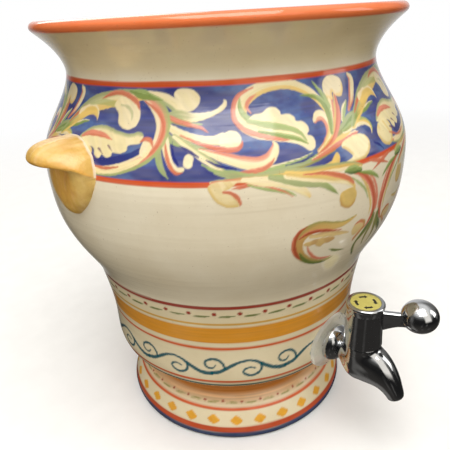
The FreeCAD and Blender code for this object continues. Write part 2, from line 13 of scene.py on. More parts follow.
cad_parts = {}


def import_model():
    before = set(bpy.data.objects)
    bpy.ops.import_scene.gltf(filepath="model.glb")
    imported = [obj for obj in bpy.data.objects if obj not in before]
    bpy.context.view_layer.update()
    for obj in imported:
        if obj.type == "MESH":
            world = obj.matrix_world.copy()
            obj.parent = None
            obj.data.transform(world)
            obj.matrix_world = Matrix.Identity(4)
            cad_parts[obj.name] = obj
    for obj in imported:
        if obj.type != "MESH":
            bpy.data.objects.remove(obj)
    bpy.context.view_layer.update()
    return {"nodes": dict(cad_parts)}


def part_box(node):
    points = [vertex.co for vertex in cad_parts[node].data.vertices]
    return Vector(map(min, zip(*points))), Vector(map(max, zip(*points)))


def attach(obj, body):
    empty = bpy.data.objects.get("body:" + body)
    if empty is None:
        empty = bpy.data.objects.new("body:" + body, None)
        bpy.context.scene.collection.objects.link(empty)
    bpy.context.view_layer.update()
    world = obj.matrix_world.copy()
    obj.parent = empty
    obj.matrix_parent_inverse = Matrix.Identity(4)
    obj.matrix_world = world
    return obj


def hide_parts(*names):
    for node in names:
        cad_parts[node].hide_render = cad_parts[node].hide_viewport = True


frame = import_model()
nodes = frame["nodes"]

MM = 0.001
EVERYWHERE = slice(None)
NONE = 1e-9                  # keeps a division from dividing by nothing

# ---- the pot, from its CAD node ----
# Levels: below everything, the drum's two edges, the belly, the neck, above everything.
BOTTOM, DRUM_EDGE, SEAM, BELLY_MIDDLE, NECK, TOP = -9.0, 59.6, 137.6, 226.0, 290.0, 400.0
SHARP_TURNS = ((83.8, 0.0), (102.2, DRUM_EDGE), (112.2, SEAM), (128.2, 310.5))  # (radius, level)
SAME_RING = 0.1              # a ring this near a sharp turn is the turn
LEAST_STEP = 0.5             # rings nearer than this to their neighbour are left out
FINE_STEP = 0.4              # step of the smooth outline
EDGE_SOFTENING = 0.9         # how far the glaze rounds a sharp turn
RING_POINTS = 30             # fewest mesh points in one turned ring of the CAD mesh
RING_EDGES = 12              # fewest mesh edges that join two neighbouring rings
FLOOR_AT_LEAST = 4.0         # thickness of the floor
INNER_LIP = 12.0             # length of the inner edge of the lip that gets finer rows
INNER_RIM_COLOUR = 6.0       # length of it that has the rim's colour
MIDDLE_HOLE = 0.02           # keeps the middle of the floor from closing to one point
UNDER_RADIUS = 98            # of the underside, for the step round it
FULL_TURN = 359.999          # degrees
CHROME = (0.60, 0.61, 0.62)

# ---- camera, fitted to the painted rings ----
CAMERA_AT = (-258.785, -258.785, 316.897)
CAMERA_FORWARD = (0.63472756, 0.64737898, -0.4219258)
CAMERA_ROLL = -0.05747       # radians
CAMERA_LENS = 36.9           # for a 36 mm sensor


def lerp(a, b, t):
    return a + (b - a) * t


def smoothstep(low, high, x):
    t = np.clip((x - low) / (high - low), 0.0, 1.0)
    return t * t * (3.0 - 2.0 * t)


def read(rows, attribute, width, kind=np.float32):
    """One attribute of all the rows of a mesh, as an array."""
    values = np.empty(len(rows) * width, kind)
    rows.foreach_get(attribute, values)
    return values.reshape(-1, width)


def unit(vectors, least=0.0):
    """Vectors of length 1 the same way."""
    return vectors / np.maximum(np.linalg.norm(vectors, axis=-1, keepdims=True), least)


# ---------------------------------------------------------------- the pot's outline
def turned_outline(node):
    """(radius, level) rings in mm of a turned node, from the middle of its underside
    round the foot, up the outside, over the lip and down to the floor inside."""
    mesh = nodes[node].data
    points = read(mesh.vertices, "co", 3) / MM
    flat = np.round(np.c_[np.hypot(points[:, 0], points[:, 1]), points[:, 2]], 2)
    rings, ring_of, count = np.unique(flat, axis=0, return_inverse=True, return_counts=True)
    pairs = ring_of.reshape(-1)[read(mesh.edges, "vertices", 2, np.int32)]
    pairs = pairs[(pairs[:, 0] != pairs[:, 1]) & (count[pairs] >= RING_POINTS).all(axis=1)]
    beside = {}
    joined, times = np.unique(np.sort(pairs, axis=1), axis=0, return_counts=True)
    for a, b in joined[times >= RING_EDGES]:
        beside.setdefault(a, set()).add(b)
        beside.setdefault(b, set()).add(a)
    start = min(beside, key=lambda ring: rings[ring, 0])
    above = [ring for ring in beside if rings[ring, 1] > rings[start, 1] + FLOOR_AT_LEAST]
    end = min(above, key=lambda ring: rings[ring, 0])
    return rings[shortest_walk(rings, beside, start, end)]


def shortest_walk(places, beside, start, end):
    """The way from start to end over neighbours that makes the smallest steps."""
    cost, before = {start: 0.0}, {}
    waiting = [(0.0, start)]
    while waiting:
        spent, at = heapq.heappop(waiting)
        for following in beside[at]:
            total = spent + math.dist(places[at], places[following]) ** 2
            if total < cost.get(following, math.inf):
                cost[following], before[following] = total, at
                heapq.heappush(waiting, (total, following))
    way = [end]
    while way[-1] != start:
        way.append(before[way[-1]])
    return way[::-1]


def thinned(points, least):
    """Leaves out points that are nearer than the least distance to the last one kept."""
    kept = [0]
    for k in range(1, len(points) - 1):
        if math.dist(points[k], points[kept[-1]]) >= least:
            kept.append(k)
    return points[kept + [len(points) - 1]]


def lengths(points):
    """Length along a line at each of its points."""
    return np.r_[0.0, np.cumsum(np.hypot(*np.diff(points, axis=0).T))]


def rounded_curve(points, step):
    """Points every step along a smooth curve through the given ones."""
    along = lengths(points)
    slope = np.gradient(points, along, axis=0)
    wanted = np.linspace(0.0, along[-1], max(int(along[-1] / step), 2) + 1)
    i = np.clip(np.searchsorted(along, wanted, side="right") - 1, 0, len(along) - 2)
    span = along[i + 1] - along[i]
    t = ((wanted - along[i]) / span)[:, None]
    span = span[:, None]
    out, into = slope[i] * span, slope[i + 1] * span
    return (points[i] * (2 * t**3 - 3 * t**2 + 1) + out * (t**3 - 2 * t**2 + t)
            + points[i + 1] * (3 * t**2 - 2 * t**3) + into * (t**3 - t**2))


def softened(points, step, reach):
    """Rounds the sharp turns of an evenly stepped outline and keeps its ends."""
    half = max(int(3 * reach / step), 1)
    weight = np.exp(-0.5 * (np.arange(-half, half + 1) * step / reach) ** 2)
    weight /= weight.sum()
    padded = np.pad(points, ((half, half), (0, 0)), mode="reflect", reflect_type="odd")
    return np.column_stack([np.convolve(padded[:, k], weight, mode="valid") for k in (0, 1)])


class Outline:
    """A smooth outline of (radius, level) points with its normals, by length along it."""

    def __init__(self, rings):
        cuts = [0]
        for turn in SHARP_TURNS:
            near = np.hypot(*(rings - turn).T)
            if near.min() < SAME_RING:
                cuts.append(int(near.argmin()))
        cuts = sorted(cuts) + [len(rings) - 1]
        parts = [rounded_curve(thinned(rings[a:b + 1], LEAST_STEP), FINE_STEP)[:-1]
                 for a, b in zip(cuts, cuts[1:]) if b > a]
        self.points = softened(np.vstack([*parts, rings[-1:]]), FINE_STEP, EDGE_SOFTENING)
        self.along = lengths(self.points)
        tangent = np.gradient(self.points, self.along, axis=0)
        tangent /= np.hypot(*tangent.T)[:, None]
        self.normals = np.column_stack([tangent[:, 1], -tangent[:, 0]])

    def at_level(self, level):
        """Length along the outline where it rises to a level."""
        return float(np.interp(level, self.points[:, 1], self.along))

    def rows(self, start, end, step):
        """Points and normals a step apart between two lengths along the outline."""
        wanted = np.linspace(start, end, max(int((end - start) / step), 3) + 1)
        return [np.column_stack([np.interp(wanted, self.along, part[:, k]) for k in (0, 1)])
                for part in (self.points, self.normals)]


# ---------------------------------------------------------------- paint
PIGMENTS = dict(             # sRGB, 0 to 255
    # the neck's and the drum's creams on the next line are painted warm shade, darker and yellower
    cream=(229, 220, 198), neck_shade_cream=(226, 212, 174), drum_shade_cream=(227, 213, 178),
    leaf_cream=(236, 222, 172), pale_leaf=(238, 224, 184), leaf_yellow=(229, 196, 112),
    straw=(222, 203, 150), honey=(214, 184, 108), toffee=(190, 148, 78), gold=(205, 158, 66),
    marigold=(226, 164, 44), ochre=(218, 146, 24), brown_ochre=(190, 112, 32),
    peach=(216, 166, 116), rim_orange=(228, 112, 56), orange_red=(206, 82, 28),
    coral=(202, 114, 84), rose=(216, 132, 108), pink=(222, 150, 120), rust=(170, 76, 50),
    russet=(192, 84, 58), brick=(184, 64, 24), dark_red=(150, 34, 18), plum=(96, 52, 96),
    pale_green=(158, 176, 112), sage=(160, 170, 120), green=(126, 148, 78),
    dark_green=(74, 104, 58), moss=(98, 116, 54), olive=(150, 146, 78), cobalt=(30, 48, 126),
    deep_blue=(30, 38, 116), pale_blue=(92, 124, 176), teal=(0, 82, 98), dark_teal=(30, 82, 80),
    # the last pigment on the next line, the lugs' deep ochre, is painted shade
    navy=(14, 46, 94), lug_top=(232, 198, 142), lug_gold=(216, 178, 92), lug_painted_shade=(226, 166, 64),
    # the first pigment on the next line, the lugs' pale ochre, is painted light on their cheeks
    lug_painted_light=(246, 216, 138), edge_cream=(240, 230, 212), disc_yellow=(198, 188, 104),
    disc_mark=(24, 22, 20))
MM_PER_DEGREE = 2.25         # along the surface, near the belly and neck
BRUSH_EDGE = 0.42            # softness of a stroke's edge
WANDER, WANDER_CELL = 0.9, 14.0     # how far lines drift, and over what length
RAGGED, RAGGED_CELL = 0.35, 1.7     # the same for the edges of brush marks


def linear(colour):
    """A pigment's name, or sRGB 0 to 255, as the linear values that a material takes."""
    c = np.asarray(PIGMENTS[colour] if isinstance(colour, str) else colour, float) / 255.0
    return np.where(c <= 0.04045, c / 12.92, ((c + 0.055) / 1.055) ** 2.4)


def lattice(x, y, seed):
    h = x.astype(np.int64) * 374761393 + y.astype(np.int64) * 668265263 + seed * 1442695041
    h &= 0xFFFFFFFF
    h = ((h ^ (h >> 13)) * 1274126177) & 0xFFFFFFFF
    return ((h ^ (h >> 16)) & 0xFFFF) / 65535.0


def noise(x, y, seed=0):
    """Smooth value noise from 0 to 1, one cell per unit."""
    x0, y0 = np.floor(x), np.floor(y)
    u, v = x - x0, y - y0
    u, v = u * u * (3 - 2 * u), v * v * (3 - 2 * v)
    low = lerp(lattice(x0, y0, seed), lattice(x0 + 1, y0, seed), u)
    high = lerp(lattice(x0, y0 + 1, seed), lattice(x0 + 1, y0 + 1, seed), u)
    return lerp(low, high, v)


def flowing(points, steps=7):
    """A smooth line through control rows, all their columns alike."""
    p = np.asarray(points, float)
    p = np.vstack([2 * p[0] - p[1], p, 2 * p[-1] - p[-2]])
    t = np.linspace(0, 1, steps, endpoint=False)[:, None]
    pieces = [0.5 * (2 * b + (c - a) * t + (2 * a - 5 * b + 4 * c - d) * t**2
                     + (3 * b - a - 3 * c + d) * t**3)
              for a, b, c, d in zip(p, p[1:], p[2:], p[3:])]
    return np.vstack([*pieces, p[-2:-1]])


def beyond(x, y, a, b):
    """Offsets of points from the nearest place on a segment, and its share of the way."""
    dx, dy = b[0] - a[0], b[1] - a[1]
    t = np.clip(((x - a[0]) * dx + (y - a[1]) * dy) / (dx * dx + dy * dy + NONE), 0, 1)
    return x - (a[0] + t * dx), y - (a[1] + t * dy), t


def ragged(x, y, seed):
    return (noise(x / RAGGED_CELL, y / RAGGED_CELL, seed + 11) - 0.5) * RAGGED


def tinted(colour, tint, cover):
    return colour if tint is None else lerp(colour, linear(tint), cover[..., None])


class Glaze:
    """The painted surface on a grid of azimuths and levels."""

    def __init__(self, azimuths, levels, base):
        self.azimuths, self.levels = np.asarray(azimuths, float), np.asarray(levels, float)
        self.colour = np.empty((len(levels), len(azimuths), 3))
        self.colour[:] = linear(base)
        self.body = np.zeros(self.colour.shape[:2])
        around, self.level = np.meshgrid(self.azimuths, self.levels)
        around = around * MM_PER_DEGREE
        self.x, self.y = (
            place + (noise(around / WANDER_CELL, self.level / WANDER_CELL, seed) - 0.5) * WANDER
            for seed, place in ((1, around), (2, self.level)))

    def window(self, low, high):
        """The part of the grid inside a box of (azimuth, level), as slices."""
        a0, a1 = np.searchsorted(self.azimuths, (low[0], high[0]))
        l0, l1 = np.searchsorted(self.levels, (low[1], high[1]))
        return slice(l0, l1), slice(a0, a1)

    def round_about(self, line, reach):
        """The part of the grid within reach of a line of (mm around, level)."""
        low, high = line[:, :2].min(0) - reach, line[:, :2].max(0) + reach
        return self.window((low[0] / MM_PER_DEGREE, low[1]), (high[0] / MM_PER_DEGREE, high[1]))

    def lay(self, area, colour, cover, body=0.0):
        """Lays pigment over an area; cover is 0 to 1 at each point."""
        c = cover[..., None]
        self.colour[area] = self.colour[area] * (1 - c) + colour * c
        self.body[area] = self.body[area] * (1 - cover) + body * cover

    def band(self, low, high, colour, soft=0.5, cover=0.96, uneven=0.10, seed=3):
        """A turned line or band, banded with a loaded brush on the wheel."""
        area = self.window((-999, low - 3), (999, high + 3))
        y, x = self.level[area], self.x[area]
        edge_low = low + (noise(x / 30, y * 0, seed) - 0.5) * RAGGED
        edge_high = high + (noise(x / 34, y * 0, seed + 1) - 0.5) * RAGGED
        inside = smoothstep(-soft, soft, y - edge_low) * smoothstep(-soft, soft, edge_high - y)
        streak = noise(x / 45, y / 0.9, seed + 2)
        tone = linear(colour) * (1 + uneven * (streak[..., None] - 0.5) * 2)
        thin = 1 - 0.35 * uneven * noise(x / 9, y / 2.2, seed + 5)
        self.lay(area, tone, inside * cover * thin, 0.6)

    def stroke(self, points, core, left=None, right=None, tip=None, root=None, cover=0.95,
               seed=0):
        """A brush stroke through (azimuth, level, half width) points.

        left and right colour its two sides, root and tip its two ends.
        """
        line = flowing([(a * MM_PER_DEGREE, v, w) for a, v, w in points])
        line[:, 2] = np.maximum(line[:, 2], 0.15)
        area = self.round_about(line, line[:, 2].max() + 1.5)
        x, y = self.x[area], self.y[area]
        if x.size == 0:
            return
        near = np.full(x.shape, 1e9)
        side, along = np.zeros(x.shape), np.zeros(x.shape)
        for k, (a, b) in enumerate(zip(line, line[1:])):
            ox, oy, t = beyond(x, y, a, b)
            width = a[2] + t * (b[2] - a[2])
            away = np.hypot(ox, oy)
            closer = away - width < near
            near = np.where(closer, away - width, near)
            turn = np.sign((b[0] - a[0]) * oy - (b[1] - a[1]) * ox)
            side = np.where(closer, turn * away / width, side)
            along = np.where(closer, (k + t) / (len(line) - 1), along)
        near = near + ragged(x, y, seed)
        bristle = noise(side * 3.2 + 20, along * 5.0, seed + 4)
        uneven = (bristle - 0.5) * 0.5
        colour = linear(core) * (0.93 + 0.14 * bristle[..., None])
        for tint, most, start, full, at in ((root, 0.9, 0.45, 0.08, along + uneven * 0.3),
                                            (tip, 0.9, 0.55, 0.95, along + uneven * 0.3),
                                            (left, 0.92, 0.15, 0.6, side + uneven),
                                            (right, 0.92, 0.15, 0.6, -side + uneven)):
            colour = tinted(colour, tint, most * smoothstep(start, full, at))
        self.lay(area, colour, cover * smoothstep(BRUSH_EDGE, -BRUSH_EDGE, near), 1.0)

    def shape(self, points, core, rim=None, rim_from=0.0, vein=None, cover=0.95, seed=0):
        """A filled form inside a closed line of (azimuth, level) points.

        rim darkens the edge that faces the direction rim_from, in degrees.
        """
        ring = np.asarray([(a * MM_PER_DEGREE, v) for a, v in points], float)
        line = flowing(np.vstack([ring[-1:], ring, ring[:1], ring[1:2]]), 5)[5:-5]
        area = self.round_about(line, 1.5)
        x, y = self.x[area], self.y[area]
        if x.size == 0:
            return
        near = np.full(x.shape, 1e9)
        inside = np.zeros(x.shape, bool)
        ax, ay = np.zeros(x.shape), np.zeros(x.shape)
        for a, b in zip(line, np.roll(line, -1, axis=0)):
            ox, oy, _ = beyond(x, y, a, b)
            away = np.hypot(ox, oy)
            closer = away < near
            near = np.where(closer, away, near)
            ax, ay = np.where(closer, ox, ax), np.where(closer, oy, ay)
            crosses = (a[1] > y) != (b[1] > y)
            inside ^= crosses & (x < (b[0] - a[0]) * (y - a[1]) / (b[1] - a[1] + 1e-12) + a[0])
        depth = np.where(inside, near, -near) + ragged(x, y, seed)
        facing = math.radians(rim_from)
        toward = -(ax * math.cos(facing) + ay * math.sin(facing)) / np.maximum(near, 1e-6)
        toward = np.where(inside, toward, -toward)
        streak = noise((x + y) / 2.2, (y - x) / 9.0, seed + 7)[..., None]
        colour = linear(core) * (0.93 + 0.14 * streak)
        mix = noise((x + 0.6 * y) / 3.0, (y - 0.6 * x) / 12.0, seed + 9)
        colour = tinted(colour, vein, 0.55 * smoothstep(0.55, 0.8, mix))
        mix = smoothstep(2.6, 0.5, depth) * smoothstep(-0.1, 0.6, toward)
        colour = tinted(colour, rim, 0.9 * mix)
        self.lay(area, colour, cover * smoothstep(-BRUSH_EDGE, BRUSH_EDGE, depth), 1.0)


# ---------------------------------------------------------------- ornament
FRIEZE = (233.5, 282.0)      # levels of the blue ground
NECK_TURNS = (284, 292)      # levels between which the glaze turns to the neck's cream, darkened as painted shade
DRUM_TURNS = (140, 132)      # and, downwards, to the drum's, also painted shade
FRIEZE_TURN = 90.0           # the frieze repeats four times round the pot
CASCADE_MIDDLE = -1.5        # the leaves under the frieze mirror about this azimuth


def numbers(text):
    """Rows of numbers from a text with a comma after each row."""
    return [tuple(map(float, row.split())) for row in text.split(",")]


def motif(first_seed, text, seed_step=1):
    """Reads brush marks: kind, pigment and options, then azimuths, levels and half widths."""
    marks = []
    for k, mark in enumerate(text.split(";")):
        head, points = mark.split(":")
        kind, core, *options = head.split()
        options = dict(option.split("=") for option in options)
        options = {name: value if value in PIGMENTS else float(value)
                   for name, value in options.items()}
        mark = {"stroke": Glaze.stroke, "shape": Glaze.shape}[kind]
        marks.append((mark, numbers(points), core, dict(options, seed=first_seed + seed_step * k)))
    return marks


# The fan of leaves and buds where two scrolls spring from one root.
FAN = motif(31, """
stroke rose left=pale_leaf right=coral: -24 241 .6, -20 243.5 1.6, -15 247 2, -10 248.8 1.7,
-8 249.3 .3;
stroke green left=sage right=leaf_yellow root=rose: -22 245 1, -18 248.5 2.2, -13 252 3.2,
-9 256 3.4, -5 258.6 2.2, -1 260.5 1;
stroke pale_green left=pale_leaf: -12 257 1.2, -10.3 262 1.6, -8 266 .5;
stroke pale_leaf right=rose: -20.9 259.2 1.2, -19.8 261 2.2, -18.2 260.8 2.8, -17.2 257.5 2.6,
-17.6 252.5 2.2, -19.5 248 1.6, -22 244.5 .7;
stroke leaf_cream left=rose right=honey: -14 270 2.6, -14.8 264 3, -15.8 258 2.8, -17.2 252 2.2,
-20 246.5 1.2;
stroke coral left=rose right=honey: -11.6 271.5 .6, -12.2 267 1.7, -13 261 2.3, -14.4 256 2.2,
-16.6 250.5 1.7, -19.4 246.4 1.2, -22.5 243 .4;
shape pale_leaf rim=leaf_yellow rim_from=-60: -15.3 271.5, -15 277, -12.8 280, -10.2 279.8,
-8 277.6, -7.4 273.5, -8.8 269.4, -11 269, -12.4 271.4, -13.2 267.5;
stroke pale_green right=green: -18.7 278.6 .15, -17.6 275.6 .9, -16 271 1.6, -15.2 265 1.6;
stroke green left=pale_green: -23.4 272.3 .15, -20.2 271.5 .9, -17.3 268.8 1.7, -16 264.5 2.1,
-16 259 1.9, -17 252 .8;
stroke pale_leaf left=coral root=coral: -8.4 261 .8, -5.6 266.5 1.8, -3.7 272 2.4, -2.8 276.3 2.5,
-3.9 279 1.2;
stroke green left=pale_leaf: -4.6 257.6 .8, -1 259.6 1.4, 2 261.3 1, 4.2 261.8 .15;
shape leaf_cream rim=honey rim_from=-80 vein=leaf_yellow: -15.2 244.4, -13.2 247.4, -9 248.4,
-6.2 246.9, -4.9 243.6, -5.3 239.6, -7.6 235.4, -12 233.6, -16.5 234.6, -12.4 237.2, -13.4 240.8;
stroke leaf_yellow left=pale_green right=pale_leaf root=green: -13 251.5 1.2, -9 253.2 2.2,
-5.4 253.9 2.3, -3.1 252.4 2.1, -2.2 249.6 1.3, -2.8 246.2 .15;
stroke deep_blue: -3.4 241.6 .4, -1.2 239.2 .8, .5 236 .2""")

# The arching leaf, the spiral round it and the lobed leaf inside.
ARCH = motif(50, """
stroke deep_blue cover=.75: -80 243 1, -75 242.8 2.6, -69 245.5 3, -66.4 250 1.2;
stroke pink left=pale_green right=pale_leaf: -69 276.8 .6, -65.6 274.6 2.6, -62.3 269.6 4.2,
-60.8 263 4.3, -61.2 256 3.7, -63 249.6 3.2, -66.6 244 3.1, -71 240.2 3, -76 238 2.7,
-80.5 237.6 2.2, -85 239 1;
stroke coral left=rose: -67 274 .4, -62.6 268.5 1.3, -60.6 262.4 1.3, -60.9 256 1.1,
-62.8 249.6 .9, -66 244.8 .6;
stroke leaf_cream: -64.6 247 .4, -68 242.8 1.5, -73 239.4 1.9, -78 237.6 1.6, -82 237.6 .8;
stroke coral: -80 239.9 .4, -76 239.6 .9, -72 240.9 .4;
stroke leaf_cream left=sage right=leaf_yellow root=green: -99 253 1.8, -95 259.4 3.3,
-90.6 266 4.3, -85.4 271 4.9, -79 274 4.7, -73 275.5 3.8, -67 277 2.4;
stroke coral: -96.5 259 .4, -93.6 264 1, -90.6 268 .8, -88.4 270 .2;
stroke honey root=green: -97 256 .5, -93 260.6 1.4, -88.6 264 1;
stroke leaf_yellow left=pale_leaf: -91 265.2 3.2, -87.4 267.6 3, -84.6 267.7 2.6, -83 265.6 1.5,
-82.4 262.7 .15;
stroke pale_green cover=.6: -87.5 270.5 .5, -82 272.4 1.6, -77 271.6 1.6, -73 269.6 1;
shape pale_leaf vein=leaf_cream: -77 271.5, -74.9 266.8, -74.4 262.6, -72.4 259.9, -70 259.8,
-68.2 262.4, -67.7 266.5, -68.4 271, -70.6 274.6, -74.4 275.6;
stroke sage cover=.55: -74.6 271.3 .3, -72 270.4 .8, -70.4 267.4 .8, -70.2 264 .2;
stroke coral left=rose: -82.4 274.2 .3, -79 276.9 1.1, -75.4 277.4 1.3, -72 275.9 1.4,
-69.4 273 1.3, -68.2 269.6 .3;
stroke green left=pale_green: -72 278.6 .6, -68.4 277.2 2.5, -65 275.9 1.8, -61.5 274.4 .3;
shape leaf_cream rim=honey rim_from=-90 vein=leaf_yellow: -90.4 244, -89.5 248.2, -86.4 251,
-83 250.4, -81.5 246.6, -82.5 241, -85 236.6, -88.6 238.4;
shape leaf_cream rim=sage rim_from=90 vein=pale_leaf: -88.6 250.8, -87.2 254.6, -84 259,
-79 260.7, -74 258.8, -70 257.6, -67.4 258.8, -65.9 257, -66.8 253.2, -69.8 252, -70.2 249.2,
-72 247.7, -74.2 247.9, -74.5 246, -76 245, -77.6 246.3, -78.6 244.2, -80.2 245.4, -81.2 249,
-84.5 250;
stroke rose right=coral: -87 253.6 .7, -83.4 256.2 1.5, -79 256 1.3, -75.2 254.2 .3;
stroke plum cover=.85: -79.4 249.1 .5, -78.6 248.4 .6, -77.4 246.6 .15;
stroke plum cover=.85: -76.2 251.2 .5, -75.6 250.6 .6, -74.4 248.6 .15;
stroke plum cover=.85: -82.6 245.9 .5, -81.2 245.1 .7, -79.8 243.6 .2;
stroke coral cover=.8: -84 243.2 .3, -81.6 241.6 .8, -79.4 240.2 .3;
stroke pale_leaf left=leaf_cream: -64.6 252.7 3.2, -65.1 249.6 3;
stroke coral: -66.6 253.9 .3, -65.3 255.4 1, -63.7 254.6 1.1, -63 251.6 .4""")

# The loose leaves between the spiral and the second scroll.
FEATHERS = motif(80, """
stroke leaf_cream right=sage left=pale_leaf: -66.5 278.5 .6, -62.4 276.4 2.3, -59.4 273.6 3,
-57.2 270.4 3, -55.6 266 2;
shape pale_leaf vein=leaf_cream: -58.3 277, -57.4 279.4, -55.4 280.2, -52.8 279.2, -51.2 276.2,
-51.2 272.8, -52.6 269.6, -55 268.4, -57.2 270.4, -57.4 273.6;
stroke pale_leaf root=sage right=leaf_cream: -61 265.5 1.6, -57 266.6 3, -53 265.6 2.2,
-49.4 266.4 1.5, -46.4 268.6 1.1, -44.5 272 1.2, -44.7 273.9 .15;
stroke pale_green: -61.5 264.6 1, -57.6 264.4 1.6, -54 262.6 1.2, -50.6 262.2 .3;
stroke rose right=coral: -61.4 267.4 .7, -57.6 264.6 1.3, -53.6 262.2 1.1, -50.6 260.4 .7,
-49 258.2 .15;
stroke sage right=pale_green: -60.6 258.6 1.4, -57.4 254.6 1.8, -53 252.2 1.6, -49 249.2 1.4,
-45.6 246.4 .3;
stroke leaf_cream left=pale_leaf: -60.4 262.6 1.4, -56.4 258.4 2.1, -52.2 255.6 2, -48.4 254.6 2,
-45.6 255 3;
shape pale_leaf: -46.6 253.6, -45.5 257.2, -43.8 258.8, -41.9 257.8, -41 254.8, -41.7 251.4,
-43.8 250.2, -46 251.6;
stroke coral left=rose: -56 257.4 .3, -51.4 253.6 .9, -48.2 251.4 1.1, -45 249.8 1.3,
-42.4 249.8 1.2, -41.1 251.6 .8, -40.8 253.4 .15;
stroke leaf_cream left=sage right=pale_leaf: -57.6 257 1, -54.2 252.6 2, -51.2 248.4 2.3,
-48.6 244.4 2.1, -46.4 240.6 1.8, -44.8 237.4 1.2;
stroke pale_leaf right=leaf_cream: -60.8 261.5 1.4, -60 255 2.3, -59 248.4 2, -57.9 243.6 1.8,
-56.4 240.8 1.5, -55 241.2 1;
stroke sage right=pale_green: -61.4 255.5 .8, -61.4 248.4 1.9, -60.4 242 1.7, -58.5 236.6 .3;
stroke coral: -60 255 .3, -59 247 1, -57.8 242 1.1, -56.4 239.4 .9, -55 239.6 .3;
stroke pale_leaf: -53.7 246 2.6, -53.8 244 2.4;
stroke deep_blue: -58 254.4 .15, -57.6 248.6 .9, -56.2 243.8 .6;
stroke deep_blue: -56 252.6 .15, -53.6 249.8 .8, -51.4 247 .3;
stroke pale_green: -50.6 243.6 .3, -47.8 240.4 1, -45 238 .9;
stroke deep_blue: -49.6 245.6 .2, -46.8 242.6 .8, -43 240.6 .3;
stroke pale_leaf left=rose right=leaf_cream: -51.4 250.8 .4, -48 248.2 1.8, -44.5 245.6 2.6,
-41 243.4 3, -37.6 242.4 3.2, -35 243.8 3.2, -33.5 247.2 2.6, -33 250.2 1.5, -33.5 252 .2;
stroke coral left=rose: -45 237.8 .6, -41 238.6 1.1, -37 239.4 1.3, -34.6 241.6 1, -33.6 244 .2;
stroke sage left=pale_green: -47.6 239.4 .8, -44 238 2.4, -41.4 236.4 2.2, -37 236.4 1""")

# The scroll that curls back from the next fan, with its lobed leaf and runners.
SECOND_SCROLL = motif(110, """
stroke pale_green left=pale_leaf: -41 236.6 .8, -36 238.8 1.3, -31 240.2 1.1, -27.4 241.9 .8,
-23.8 244.4 .15;
stroke sage left=pale_green right=olive: -41 235.2 1.4, -34 237.2 2.3, -27.6 239.2 2,
-22 241.8 1.8, -17.6 243.8 1;
stroke deep_blue: -31 239.4 .15, -27 240.9 .6, -23.4 243 .15;
shape leaf_yellow rim=honey rim_from=-90: -24 235, -21 236.9, -19 238.3, -17.9 240.6, -17 242,
-16.4 239.5, -16.8 236.4, -18.4 234.6;
stroke leaf_cream right=pale_leaf left=leaf_yellow: -15.6 258 1.4, -16.8 266 2.1, -20 273 2.4,
-25 277.6 2.5, -30 279 2.7, -35 277.6 3.1, -38.9 273.8 3.6, -40.7 268.4 3.9, -40.2 262.4 3.9,
-37 257.8 3.6, -32.6 255.4 3.2, -28.6 253.4 2.8, -25.4 250.4 2;
stroke rose right=coral: -36.6 278.6 .3, -40.4 275.8 1.1, -42.3 270.6 1.3, -42.4 264.6 1.4,
-40.4 259.4 1.4, -36.8 255.9 1.3, -32.4 253.4 1.1, -28 251.8 .3;
stroke rose: -36 275.2 .3, -38.2 272.6 1, -38.9 269.4 1, -38 266.6 .3;
stroke pale_green right=green: -40.6 274 .4, -40.6 268.6 1.4, -38.8 264 1.7, -35.4 261 1.4,
-30.4 259.4 .4;
shape pale_leaf vein=leaf_cream: -37.6 265.6, -35 266.2, -33 268.2, -31 268, -29.9 266.2,
-29.7 264.4, -27.7 264.4, -26.6 262.8, -26.4 260.8, -24.8 260.2, -23.5 258, -23.5 255.5,
-24.2 253.6, -23 252.2, -22.5 249.5, -22.9 246.8, -24.2 245.5, -26 248, -28 250.8, -31 254.2,
-35 258, -38.8 262;
stroke pale_green right=sage: -39 263 1, -34 260 1.7, -29.4 258 1.5, -26.2 255 1.1, -24.8 250.8 .3;
stroke green left=pale_green: -36.4 257.4 .6, -31 254.6 1.2, -27 252.2 1.2, -24.6 249.2 .3""")

